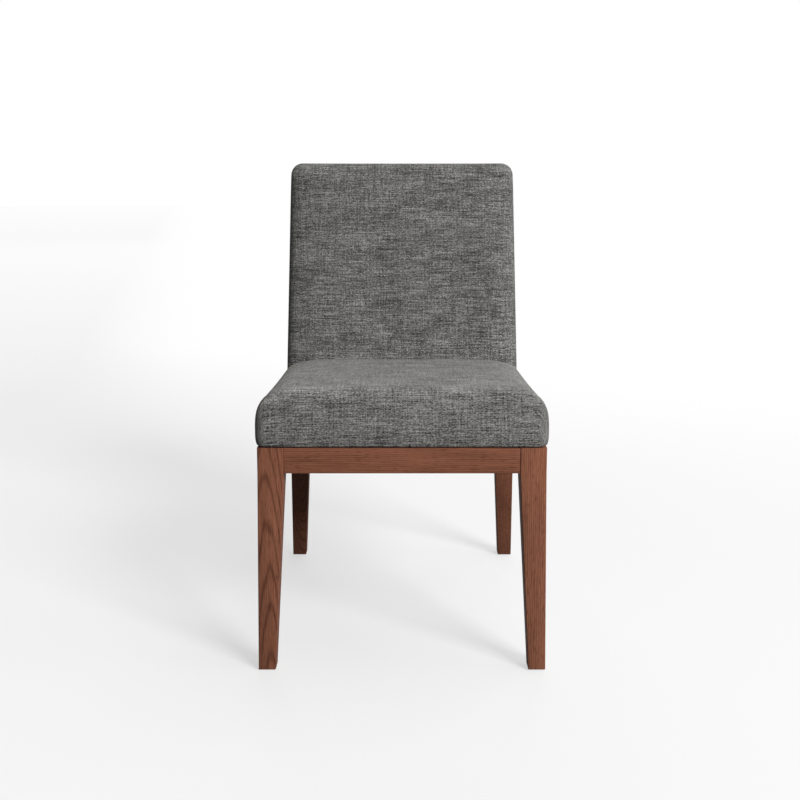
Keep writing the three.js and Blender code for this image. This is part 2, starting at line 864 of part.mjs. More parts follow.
// The back seen from the front, as [x, z] places, drawn in by an inset at the top and the sides.
// It runs on below the base, where the pieces are cut level.
function backOutline(inset) {
  const top = backLength - inset;
  const bottom = -backThickness;
  const radius = Math.max(backCornerRadius - inset, backFrontEdge);
  const half = (z) => backHalfWidthAt(z) - inset;
  const lowHalf = half(bottom);
  const highHalf = half(top);
  return [
    ...stretch([-lowHalf, bottom], [lowHalf, bottom], straightSteps),
    ...stretch([lowHalf, bottom], [highHalf, top - radius], straightSteps),
    ...quarter(highHalf - radius, top - radius, radius, 0),
    ...stretch([highHalf - radius, top], [radius - highHalf, top], straightSteps),
    ...quarter(radius - highHalf, top - radius, radius, Math.PI / 2),
    ...stretch([-highHalf, top - radius], [-lowHalf, bottom], straightSteps),
  ];
}

// Depth of the crowned front at a place
function backFrontAt(x, z) {
  const middle = backLength / 2;
  const upShare = Math.max(0, (z - middle) / middle);
  return backCrown * crownFall(x / backHalfWidth, upShare);
}

// The back's form, drawn in all round by a skin, stacked from its rear to its front
function backForm(skin) {
  const rear = backThickness - skin;
  const ring = (inset, depthAt) =>
    backOutline(skin + inset).map(([x, z]) => new THREE.Vector3(x, depthAt(x, z), z));
  const rings = [];
  const roll = rollShares();
  for (const [reachShare, dropShare] of roll.toReversed()) {
    rings.push(ring(backRearEdge * reachShare, () => rear - backRearEdge * dropShare));
  }
  for (const [reachShare, dropShare] of roll) {
    const depthAt = (x, z) => skin + backFrontAt(x, z) + backFrontEdge * dropShare;
    rings.push(ring(backFrontEdge * reachShare, depthAt));
  }
  const middle = (backLength - backThickness) / 2;
  for (const share of innerRingShares) {
    const face = backOutline(skin + backFrontEdge).map(([x, z]) => {
      const inX = x * share;
      const inZ = middle + (z - middle) * share;
      return new THREE.Vector3(inX, skin + backFrontAt(inX, inZ), inZ);
    });
    rings.push(face);
  }
  return loft(rings);
}

// A shape of the chair as the back's own frame has it
function inBack(geometry) {
  return geometry.applyMatrix4(chairToBack);
}

// Everything below the level at which the back's covers and padding end
function belowBack() {
  const level = seatBottom;
  const reach = backThickness + backThickness;
  return inBack(
    centredBlock(backHalfWidth + overrun, backSetback - reach, backSetback + reach, level - reach, level),
  );
}

// A slab of the back's outline between two depths, cut level at the base
function backSlab(inset, y0, y1) {
  const slab = prism(backOutline(inset), y1 - y0)
    .rotateX(Math.PI / 2)
    .translate(0, y1, 0);
  return cut(slab, [belowBack()]);
}

function backCoverPiece() {
  const rear = backThickness - backCoverThickness;
  const rearOpening = prism(backOutline(rearLip), backCoverThickness + overrun + overrun)
    .rotateX(Math.PI / 2)
    .translate(0, backThickness + overrun, 0);
  const lowerOpening = centredBlock(
    backHalfWidth - rearLip,
    rear - overrun,
    backThickness + overrun,
    -backThickness - overrun,
    0,
  );
  const space = inBack(tongueSpace());
  const tools = [backForm(backCoverThickness), rearOpening, lowerOpening, belowBack(), space];
  return piece("back_cover", cut(backForm(0), tools), melangeFabric);
}

// The space behind the webbing that the posts and rails take up, sides and top
function frameSpace() {
  const bottom = -backThickness - overrun;
  const top = postTop + seatingGap;
  const low = postOuterAt(bottom) + seatingGap;
  const high = postOuterAt(top) + seatingGap;
  const depth = backThickness - webbingFront + seatingGap + overrun;
  const outline = [
    [-low, bottom],
    [low, bottom],
    [high, top],
    [-high, top],
  ];
  return prism(outline, depth)
    .rotateX(Math.PI / 2)
    .translate(0, webbingFront - seatingGap + depth, 0);
}

function backFoamPiece() {
  const behindPosts = centredBlock(
    backHalfWidth + overrun,
    postBack,
    backThickness + overrun,
    -backThickness - overrun,
    backLength + overrun,
  );
  const tools = [frameSpace(), behindPosts, belowBack(), inBack(tongueSpace())];
  return piece("back_foam", cut(backForm(backPadding), tools), foam);
}

function railPiece(name, bottom) {
  const shoulder = postInnerAt(bottom + railHeight) - seatingGap;
  const body = centredBlock(shoulder, postFront, postFront + railThickness, bottom, bottom + railHeight);
  const middle = postFront + railThickness / 2;
  const tenon = centredBlock(
    shoulder + railTenonLength,
    middle - tenonThickness / 2,
    middle + tenonThickness / 2,
    bottom + tenonShoulder,
    bottom + railHeight - tenonShoulder,
  );
  return piece(name, join(body, tenon), plainWood);
}

// Middles of the straps that lie side by side between two places
function strapMiddles(from, to) {
  const middles = [];
  for (let k = 0; k < strapCount; k += 1) {
    middles.push(from + ((to - from) * (k + 1 / 2)) / strapCount);
  }
  return middles;
}

// The side view of a strap that crosses others, as [along, depth] places. It lies on the wood at both
// ends, and passes in front of a crossed strap where inFront says so.
function strapOutline(start, end, crossings, inFront) {
  const high = webbingFront + strapThickness / 2;
  const low = webbingRear - strapThickness / 2;
  const flat = strapWidth / 2 + strapEase;
  const path = [
    [start, low],
    [crossings[0] - flat - strapRamp, low],
  ];
  crossings.forEach((crossing, k) => {
    const depth = inFront(k) ? high : low;
    path.push([crossing - flat, depth], [crossing + flat, depth]);
  });
  path.push([crossings[crossings.length - 1] + flat + strapRamp, low], [end, low]);
  const half = strapThickness / 2;
  const front = path.map(([along, depth]) => [along, depth - half]);
  const rear = path.map(([along, depth]) => [along, depth + half]);
  return [...front, ...rear.toReversed()];
}

function webbingPieces() {
  const columns = strapMiddles(-postInnerAt(topRailBottom), postInnerAt(topRailBottom));
  const rows = strapMiddles(bottomRailTop, topRailBottom);
  const levelEnd = postInnerAt(topRailBottom) + strapLap;
  const levels = rows.map((height, row) => {
    const inFront = (column) => (row + column) % 2 === 0;
    const outline = strapOutline(-levelEnd, levelEnd, columns, inFront);
    const strap = prism(outline, strapWidth).translate(0, 0, height - strapWidth / 2);
    return piece("back_strap_level_" + (row + 1), strap, elasticWebbing);
  });
  const uprights = columns.map((middle, column) => {
    const inFront = (row) => (row + column) % 2 === 1;
    const outline = strapOutline(bottomRailTop - strapLap, topRailBottom + strapLap, rows, inFront);
    const strap = prism(outline, strapWidth)
      .rotateY(-Math.PI / 2)
      .translate(middle + strapWidth / 2, 0, 0);
    return piece("back_strap_upright_" + (column + 1), strap, elasticWebbing);
  });
  return [...levels, ...uprights];
}

function backPieces() {
  const padFront = postBack + seatingGap;
  const padRear = backThickness - backPadding;
  const panelFront = backThickness - backCoverThickness;
  const rearPad = backSlab(backRearEdge + seatingGap, padFront, padRear);
  const panel = backSlab(rearLip + seatingGap, panelFront, backThickness);
  return [
    railPiece("back_top_rail", topRailBottom),
    railPiece("back_bottom_rail", bottomRailRise),
    ...webbingPieces(),
    backFoamPiece(),
    piece("back_rear_pad", rearPad, wadding),
    backCoverPiece(),
    piece("outside_back_panel", panel, melangeFabric),
  ];
}

// The whole chair

const base = new THREE.Group();
base.add(...pair("front_leg", frontLegGeometry(), stainedWood));
base.add(...pair("rear_leg", rearLegGeometry(), stainedWood));
base.add(...apronPieces());
base.add(...corners.flatMap(cornerPieces));
base.add(...glidePieces());

const seat = new THREE.Group();
seat.add(seatBoardPiece(), seatFoamPiece(), seatCoverPiece(), dustCoverPiece());

back.add(...backPieces());

const chair = new THREE.Group();
chair.add(base, seat, back);
chair.position.y = -(chairFront + chairRear) / 2;

export default chair;
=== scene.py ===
"""Looks of the upholstered dining chair, and of the plain studio that it stands in.

Lengths are in metres unless a name says otherwise. The chair stands on the floor at z = 0 with its
front towards -Y. Left and right are as seen from the front.
"""

from __future__ import annotations

import logging
import math
from collections.abc import Callable, Iterator, Sequence
from contextlib import contextmanager
from dataclasses import dataclass
from enum import Enum

import bmesh
import bpy
import numpy as np
from mathutils import Euler, Matrix, Vector


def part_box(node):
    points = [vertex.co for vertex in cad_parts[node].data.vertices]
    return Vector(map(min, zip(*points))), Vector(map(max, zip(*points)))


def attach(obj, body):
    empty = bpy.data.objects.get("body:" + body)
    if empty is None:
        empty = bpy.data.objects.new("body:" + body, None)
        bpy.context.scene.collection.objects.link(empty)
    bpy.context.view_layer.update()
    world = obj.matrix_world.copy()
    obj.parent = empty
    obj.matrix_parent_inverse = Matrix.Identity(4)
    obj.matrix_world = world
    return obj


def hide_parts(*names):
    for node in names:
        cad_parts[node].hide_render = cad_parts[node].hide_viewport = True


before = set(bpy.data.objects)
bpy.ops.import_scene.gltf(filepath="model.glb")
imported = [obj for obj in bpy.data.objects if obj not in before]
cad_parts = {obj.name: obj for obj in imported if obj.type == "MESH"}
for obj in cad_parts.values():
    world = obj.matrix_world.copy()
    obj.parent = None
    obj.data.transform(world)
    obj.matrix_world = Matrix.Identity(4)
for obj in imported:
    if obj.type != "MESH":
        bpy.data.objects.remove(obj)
log = logging.getLogger("chair")

Piece = bpy.types.Object
Socket = bpy.types.NodeSocket
Inputs = dict[str | int, object]

WEAVE_MAP = "weave"  # the UV map that holds a cloth's own place, in metres along its threads
MM = 0.001
NEAR = 1e-4  # places closer than this count as one
ALONG = 0.9  # a direction that has more than this of an axis runs along it
ACROSS = 0.1  # and one that has less runs across it
ROLL_STEPS = 7  # faces round a rolled edge
SEATING_GAP = 0.0003  # left between pieces that lie on each other
FOAM_GAP = 0.0005  # left between the foam and what lies round it
OVERRUN = 0.02  # how far a cutter runs on past what it cuts
WOOD_EDGE_DEG = 30  # edges of wood that turn by less are shaded smooth
METAL_EDGE_DEG = 40  # the same for screws, staples and glides
THIN_EDGE_DEG = 50  # for webbing and dust cloth
SOFT_EDGE_DEG = 60  # and for covers, foam and wadding

# The photograph's camera, in pixels of its 800 x 800 frame and in metres from the chair's base
IMAGE_SIDE_PX = 800
FOCAL_PX = 1037.0
MIDDLE_PX = (402.0, 344.4)  # where the camera's axis meets the picture
CAMERA_HEIGHT = 0.8024
CAMERA_DISTANCE = 1.6592  # from the front faces of the front legs
CAMERA_TILT_DEG = 8.35  # downwards
SENSOR_MM = 36.0

# Sockets of the colour mixing node, which has a set of them for each kind of value
MIX_FIRST, MIX_SECOND, MIX_RESULT = 6, 7, 2
WAVE_PITCH = 0.314  # how far apart the wave node draws its rings or bands, at a scale of 1
WHITE = (1.0, 1.0, 1.0, 1.0)


class Slot(Enum):
    """The record's material slots for the pieces that are modelled here."""

    STAINED_WOOD = "stained_wood"
    UPHOLSTERY = "upholstery_fabric"
    FOAM = "foam"
    WADDING = "wadding"
    WEBBING = "elastic_webbing"
    DUST_CLOTH = "dust_cloth"
    STEEL = "zinc_steel"
    NYLON = "nylon"


class Pick(Enum):
    """What is selected in edit mode."""

    EDGE = "EDGE"
    FACE = "FACE"


class Grain(Enum):
    """The way that a piece of wood's fibres run, as the turn that brings them upright."""

    ALONG_X = (0.0, -90.0, 0.0)
    ALONG_Y = (90.0, 0.0, 0.0)
    ALONG_Z = (0.0, 0.0, 0.0)


# Modelling tools


def activate(piece: Piece) -> None:
    """Selects one piece alone and makes it the active one."""
    bpy.ops.object.select_all(action="DESELECT")
    piece.select_set(True)
    bpy.context.view_layer.objects.active = piece


@contextmanager
def editing(piece: Piece) -> Iterator[None]:
    """Holds a piece in edit mode for as long as the block runs."""
    activate(piece)
    bpy.ops.object.mode_set(mode="EDIT")
    try:
        yield
    finally:
        bpy.ops.object.mode_set(mode="OBJECT")


def select(kind: Pick, test: Callable[[Vector, Vector], bool]) -> None:
    """Selects what passes a test, in edit mode.

    Args:
        kind: whether edges or faces are picked.
        test: is given the element's middle, and its normal or, for an edge, its direction.
    """
    bpy.ops.mesh.select_mode(type=kind.value)
    bpy.ops.mesh.select_all(action="DESELECT")
    mesh = bpy.context.edit_object.data
    shape = bmesh.from_edit_mesh(mesh)
    if kind is Pick.FACE:
        for face in shape.faces:
            face.select_set(test(face.calc_center_median(), face.normal))
    else:
        for edge in shape.edges:
            start, end = (corner.co for corner in edge.verts)
            edge.select_set(test((start + end) / 2, (end - start).normalized()))
    shape.select_flush_mode()
    bmesh.update_edit_mesh(mesh)


def select_everything() -> None:
    """Selects the whole mesh, in edit mode."""
    bpy.ops.mesh.select_all(action="SELECT")


def remove_faces(test: Callable[[Vector, Vector], bool]) -> None:
    """Deletes, in edit mode, the faces whose middle and normal pass a test."""
    select(Pick.FACE, test)
    bpy.ops.mesh.delete(type="FACE")


def picked_middle() -> Vector:
    """The middle of the vertices that are selected in edit mode."""
    shape = bmesh.from_edit_mesh(bpy.context.edit_object.data)
    places = [corner.co for corner in shape.verts if corner.select]
    return sum(places, Vector()) / len(places)


def move(step: Sequence[float]) -> None:
    """Moves what is selected in edit mode."""
    bpy.ops.transform.translate(value=tuple(step))


def resize(factors: Sequence[float], centre: Sequence[float] | None = None) -> None:
    """Scales what is selected in edit mode.

    Args:
        factors: for X, Y and Z.
        centre: what it is scaled about, or None for its own middle.
    """
    spot = picked_middle() if centre is None else centre
    bpy.ops.transform.resize(value=tuple(factors), center_override=tuple(spot))


def extrude(step: Sequence[float]) -> None:
    """Extrudes what is selected in edit mode and moves it by a step."""
    bpy.ops.mesh.extrude_region_move(TRANSFORM_OT_translate={"value": tuple(step)})


def round_edges(radius: float, segments: int) -> None:
    """Rounds the edges that are selected in edit mode."""
    bpy.ops.mesh.bevel(offset=radius, segments=segments, profile=0.5, affect="EDGES")


def slice_at(axis: int, places: Sequence[float]) -> None:
    """Cuts the whole mesh in edit mode by planes across an axis, so that its faces are small enough to bend.

    Args:
        axis: 0, 1 or 2 for X, Y or Z.
        places: where along it the planes stand.
    """
    normal = Vector((0, 0, 0))
    normal[axis] = 1
    for place in places:
        select_everything()
        bpy.ops.mesh.bisect(plane_co=normal * place, plane_no=normal, use_fill=False)


def slice_evenly(axis: int, low: float, high: float, spacing: float) -> None:
    """Cuts the whole mesh in edit mode into slices of one width.

    Args:
        axis: 0, 1 or 2 for X, Y or Z.
        low: where the stretch to be divided begins.
        high: where it ends.
        spacing: the widest that a slice may be.
    """
    count = math.ceil((high - low) / spacing)
    slice_at(axis, [low + (high - low) * k / count for k in range(1, count)])


def roll_face(
    way: Sequence[float], reach: Sequence[float], size: Sequence[float], base: Sequence[float]
) -> None:
    """Rolls a selected face's edges over in edit mode, as quarters of ellipses.

    Args:
        way: which way the face rises, and how far.
        reach: how far its edges move in along X, Y and Z.
        size: the face's size along each of them, from the base.
        base: the place that stays where it is.
    """
    way, last_in, last_out = Vector(way), 0.0, 0.0
    for step in range(1, ROLL_STEPS + 1):
        angle = math.pi / 2 * step / ROLL_STEPS
        inward, outward = 1 - math.cos(angle), math.sin(angle)
        extrude(way * (outward - last_out))
        resize([(s - r * inward) / (s - r * last_in) for s, r in zip(size, reach)], base)
        last_in, last_out = inward, outward


def cut_off(place: Vector, normal: Vector) -> None:
    """Cuts away, in edit mode, what lies on a plane's outer side, and closes the cut."""
    select_everything()
    bpy.ops.mesh.bisect(plane_co=place, plane_no=normal, use_fill=True, clear_outer=True)


def cut_level(height: float) -> None:
    """Cuts away, in edit mode, what lies below a height, and closes the cut."""
    cut_off(Vector((0, 0, height)), Vector((0, 0, -1)))


def add_box(name: str, low: Sequence[float], high: Sequence[float]) -> Piece:
    """Adds a cube at its size and place, as the start of a piece.

    Args:
        name: the piece's name.
        low: its lowest corner.
        high: its highest corner.

    Returns:
        The new object, with its place in its mesh.
    """
    low, high = Vector(low), Vector(high)
    bpy.ops.mesh.primitive_cube_add(size=1, location=(low + high) / 2)
    piece = bpy.context.object
    piece.scale = high - low
    return settle(piece, name)


def add_cylinder(
    name: str, radius: float, depth: float, sides: int, middle: Sequence[float] = (0, 0, 0)
) -> Piece:
    """Adds an upright cylinder at its size and place, as the start of a piece.

    Args:
        name: the piece's name.
        radius: its radius.
        depth: its height.
        sides: how many faces it has round it.
        middle: its middle.

    Returns:
        The new object, with its place in its mesh.
    """
    bpy.ops.mesh.primitive_cylinder_add(vertices=sides, radius=radius, depth=depth, location=middle)
    return settle(bpy.context.object, name)


def add_plane(name: str, size: Sequence[float], middle: Sequence[float]) -> Piece:
    """Adds a level face at its size and place, as the start of a piece.

    Args:
        name: the piece's name.
        size: its size along X and Y.
        middle: its middle.

    Returns:
        The new object, with its place in its mesh.
    """
    bpy.ops.mesh.primitive_plane_add(size=1, location=middle)
    piece = bpy.context.object
    piece.scale = (*size, 1)
    return settle(piece, name)


def rename(piece: Piece, name: str) -> None:
    """Names a piece and its mesh."""
    piece.name = name
    piece.data.name = name


def settle(piece: Piece, name: str) -> Piece:
    """Names a piece and moves its place into its mesh."""
    rename(piece, name)
    activate(piece)
    bpy.ops.object.transform_apply(location=True, rotation=True, scale=True)
    return piece


def face_outwards(piece: Piece) -> None:
    """Turns a piece's faces so that they all point out."""
    with editing(piece):
        select_everything()
        bpy.ops.mesh.normals_make_consistent(inside=False)


def copied(piece: Piece, name: str) -> Piece:
    """A copy of a piece with a mesh of its own."""
    copy = piece.copy()
    copy.data = piece.data.copy()
    bpy.context.scene.collection.objects.link(copy)
    rename(copy, name)
    return copy


def placed_copy(piece: Piece, name: str, matrix: Matrix) -> Piece:
    """A copy of a piece, moved by a matrix, with its faces pointing out.

    Args:
        piece: what is copied.
        name: the copy's name.
        matrix: the move, which may mirror.

    Returns:
        The copy, with its place in its mesh.
    """
    copy = copied(piece, name)
    copy.data.transform(matrix)
    face_outwards(copy)
    return copy


def finish_modifier(piece: Piece, kind: str, **settings: object) -> None:
    """Gives a piece a modifier and applies it at once.

    Args:
        piece: the piece that is changed.
        kind: the modifier's type.
        settings: its properties.
    """
    modifier = piece.modifiers.new(kind.lower(), kind)
    for key, value in settings.items():
        setattr(modifier, key, value)
    activate(piece)
    bpy.ops.object.modifier_apply(modifier=modifier.name)


def carve(piece: Piece, cutter: Piece) -> None:
    """Cuts a closed shape out of a piece, and removes the shape."""
    finish_modifier(piece, "BOOLEAN", operation="DIFFERENCE", object=cutter, solver="EXACT")
    bpy.data.objects.remove(cutter)


def drawn_in(form: Piece, name: str, depth: float) -> Piece:
    """A copy of a form, with its whole surface moved in by one distance."""
    inner = copied(form, name)
    with editing(inner):
        select_everything()
        bpy.ops.transform.shrink_fatten(value=-depth)
    return inner


def thicken(skin: Piece, thickness: float) -> None:
    """Gives a cloth its thickness, inwards, and shades it."""
    finish_modifier(skin, "SOLIDIFY", thickness=thickness, offset=-1, use_even_offset=True)
    shade(skin, SOFT_EDGE_DEG)


def shade(piece: Piece, sharp_deg: float) -> None:
    """Shades a piece smooth, but for edges that turn by more than an angle."""
    activate(piece)
    bpy.ops.object.shade_smooth_by_angle(angle=math.radians(sharp_deg))


def points_of(piece: Piece) -> np.ndarray:
    """The places of a piece's vertices, one row each."""
    flat = np.empty(len(piece.data.vertices) * 3, np.float32)
    piece.data.vertices.foreach_get("co", flat)
    return flat.reshape(-1, 3).astype(float)


def set_points(piece: Piece, points: np.ndarray) -> None:
    """Moves a piece's vertices to new places."""
    piece.data.vertices.foreach_set("co", points.astype(np.float32).ravel())
    piece.data.update()


def known_points(node: str) -> np.ndarray:
    """The places of a frame node's vertices, one row each."""
    return points_of(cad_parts[node])


def box_middle(node: str) -> tuple[float, float, float]:
    """The middle of a frame node's box."""
    low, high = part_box(node)
    return tuple((low + high) / 2)


def crown_share(across: np.ndarray, along: np.ndarray) -> np.ndarray:
    """How much of a crown is left at a place: all in the middle, none at the edges.

    Args:
        across: the place across the face, from -1 to 1.
        along: the place along it, from 0 where the crown is whole to 1 at the edge.

    Returns:
        Shares from 0 to 1.
    """
    power = 4  # the higher it is, the flatter the crown stays towards its edges
    return (1 - np.abs(across) ** power) * (1 - np.abs(along) ** power)


# Materials


def to_linear(code: str) -> tuple[float, float, float, float]:
    """Turns an sRGB hex colour such as "#7a4c3c" into linear red, green, blue and alpha."""
    parts = [int(code[k : k + 2], 16) / 255 for k in (1, 3, 5)]
    red, green, blue = (p / 12.92 if p <= 0.04045 else ((p + 0.055) / 1.055) ** 2.4 for p in parts)
    return red, green, blue, 1.0


def add_node(
    tree: bpy.types.NodeTree, kind: str, inputs: Inputs | None = None, **settings: object
) -> bpy.types.Node:
    """Adds a node to a tree.

    Args:
        tree: the node tree.
        kind: the node's type.
        inputs: for each input, by name or number, a socket to link or a value to set.
        settings: its properties.

    Returns:
        The new node.
    """
    node = tree.nodes.new(kind)
    for key, value in settings.items():
        setattr(node, key, value)
    for key, value in (inputs or {}).items():
        if isinstance(value, Socket):
            tree.links.new(value, node.inputs[key])
        else:
            node.inputs[key].default_value = value
    return node


class Surface:
    """A material that is being made: its node tree and its main shader."""

    def __init__(self, title: str, **sockets: object) -> None:
        """Starts a material.

        Args:
            title: the material's name.
            sockets: values for the shader's own sockets, with underscores for spaces.
        """
        self.material = bpy.data.materials.new(title)
        self.material.use_nodes = True
        self.tree = self.material.node_tree
        self.shader = next(n for n in self.tree.nodes if n.type == "BSDF_PRINCIPLED")
        for key, value in sockets.items():
            self.shader.inputs[key.replace("_", " ")].default_value = value

    def node(self, kind: str, inputs: Inputs | None = None, **settings: object) -> bpy.types.Node:
        """Adds a node to this material's tree."""
        return add_node(self.tree, kind, inputs, **settings)

    def streaks(self, place: Socket, size_mm: Sequence[float], shift: float, detail: float = 2.0) -> Socket:
        """Soft random blotches of a given size.

        Args:
            place: the coordinates that they follow, in metres.
            size_mm: their size along each of the three coordinates.
            shift: moves the pattern, so that two of the same size differ.
            detail: how many finer layers they have.

        Returns:
            A value round 0.5.
        """
        scale = [1 / (size * MM) for size in size_mm]
        spot = (shift, shift, shift)
        mapping = self.node("ShaderNodeMapping", {"Vector": place, "Scale": scale, "Location": spot})
        noise = {"Vector": mapping.outputs[0], "Scale": 1.0, "Detail": detail}
        return self.node("ShaderNodeTexNoise", noise).outputs["Fac"]

    def blend(self, layers: Sequence[tuple[Socket, float]]) -> Socket | float:
        """The sum of several values, each times its weight."""
        total: Socket | float = 0.0
        for value, weight in layers:
            inputs = {0: value, 1: weight, 2: total}
            total = self.node("ShaderNodeMath", inputs, operation="MULTIPLY_ADD").outputs[0]
        return total

    def tint(
        self,
        value: Socket,
        span: tuple[float, float],
        first: Socket | str,
        second: Socket | str,
        most: float = 1.0,
    ) -> Socket:
        """Runs from one colour to another as a value rises.

        Args:
            value: what decides the colour.
            span: where it begins to turn, and where it has turned.
            first: the colour below the span, a socket or a hex code.
            second: the colour above it.
            most: how much of the second colour is reached.

        Returns:
            The colour.
        """
        reach = {"Value": value, "From Min": span[0], "From Max": span[1], "To Max": most}
        share = self.node("ShaderNodeMapRange", reach, clamp=True).outputs[0]
        colours = [to_linear(c) if isinstance(c, str) else c for c in (first, second)]
        inputs = {0: share, MIX_FIRST: colours[0], MIX_SECOND: colours[1]}
        return self.node("ShaderNodeMix", inputs, data_type="RGBA").outputs[MIX_RESULT]

    def wear(self, value: Socket, span: tuple[float, float], smooth: float, rough: float) -> None:
        """Lets the roughness rise with a value.

        Args:
            value: what decides it.
            span: where it begins to rise, and where it stops.
            smooth: the roughness below the span.
            rough: the roughness above it.
        """
        reach = {"Value": value, "From Min": span[0], "From Max": span[1], "To Min": smooth, "To Max": rough}
        rise = self.node("ShaderNodeMapRange", reach, clamp=True)
        self.link(rise.outputs[0], "Roughness")

    def press(self, layers: Sequence[tuple[Socket, float]], depth_mm: float, strength: float) -> None:
        """Gives the surface a fine relief, which is the sum of several values, each times its weight."""
        height = {"Height": self.blend(layers), "Distance": depth_mm * MM, "Strength": strength}
        self.link(self.node("ShaderNodeBump", height).outputs[0], "Normal")

    def link(self, value: Socket, socket: str) -> None:
        """Links a value to one of the shader's sockets."""
        self.tree.links.new(value, self.shader.inputs[socket])

    def threads(self, place: Socket, pitch_mm: float) -> Socket:
        """The relief of a plain weave: threads that cross over and under each other.

        Args:
            place: the place on the cloth.
            pitch_mm: the distance from one thread to the next.

        Returns:
            A height round 0.
        """
        parts = self.node("ShaderNodeSeparateXYZ", {0: place})
        rate = math.pi / (pitch_mm * MM)
        waves = []
        for k in range(2):
            turn = self.node("ShaderNodeMath", {0: parts.outputs[k], 1: rate}, operation="MULTIPLY")
            wave = self.node("ShaderNodeMath", {0: turn.outputs[0]}, operation="SINE")
            waves.append(wave.outputs[0])
        return self.node("ShaderNodeMath", {0: waves[0], 1: waves[1]}, operation="MULTIPLY").outputs[0]


@dataclass(frozen=True)
class MelangeWeave:
    """Polyester upholstery cloth in a linen-look plain weave of uneven, mixed yarns.

    The eye sees a charcoal grey broken by short level slubs, fainter upright ones and cloudy patches.
    """

    title: str = "melange upholstery weave"
    dark: str = "#1c1c1c"
    medium: str = "#504f4e"
    light: str = "#d0cfca"
    fuzz: str = "#c9c9c4"
    # Real yarns are about 0.6 mm apart, too fine to show at this distance, so they are drawn coarser
    yarn_mm: float = 1.4
    slub_mm: float = 26.0
    slub_width_mm: float = 1.35
    cloud_mm: tuple[float, float] = (62.0, 38.0)
    dark_end: float = -0.43  # the layers' sum, from its middle, where the cloth is darkest
    light_end: float = 1.34  # and where it is lightest

    def material(self) -> bpy.types.Material:
        """Makes the material."""
        surface = Surface(
            self.title,
            Roughness=0.95,
            Specular_IOR_Level=0.25,
            Sheen_Weight=0.04,
            Sheen_Roughness=0.4,
            Sheen_Tint=to_linear(self.fuzz),
        )
        place = surface.node("ShaderNodeUVMap", uv_map=WEAVE_MAP).outputs[0]
        width = self.slub_width_mm
        long_weft = surface.streaks(place, (self.slub_mm * 2.4, width, 1), 3.1, 1.0)
        weft = surface.streaks(place, (self.slub_mm * 0.6, width, 1), 13.7, 1.0)
        warp = surface.streaks(place, (width, self.slub_mm * 2, 1), 7.7, 1.0)
        flecks = surface.streaks(place, (self.yarn_mm * 2.2, self.yarn_mm, 1), 11.3, 1.0)
        clouds = surface.streaks(place, (*self.cloud_mm, 1), 5.9)
        layers = ((long_weft, 1.1), (weft, 0.6), (warp, 0.55), (flecks, 1.6), (clouds, 0.4))
        middle = sum(weight for _, weight in layers) / 2
        tone = surface.blend(layers)
        shade = surface.tint(tone, (middle + self.dark_end, middle), self.dark, self.medium)
        yarns = surface.tint(tone, (middle, middle + self.light_end), shade, self.light)
        surface.link(yarns, "Base Color")
        threads = surface.threads(place, self.yarn_mm)
        surface.press(((threads, 0.3), (weft, 0.8), (warp, 0.4)), 0.45, 0.6)
        return surface.material


@dataclass(frozen=True)
class Board:
    """How one piece was sawn from its log.

    Attributes:
        centre: a point in the piece.
        grain: the way that its fibres run.
        pith_mm: from that point to the middle of the log, across the fibres.
        tilt_deg: how far the fibres stray from the piece's length, which draws arches on its faces.
        shift: moves the finer pattern, so that no two boards are alike.
        stain: how much more stain it took up than the others, from -1 to 1.
    """

    centre: tuple[float, float, float]
    grain: Grain
    pith_mm: tuple[float, float]
    tilt_deg: tuple[float, float] = (0.0, 0.0)
    shift: float = 0.0
    stain: float = 0.0


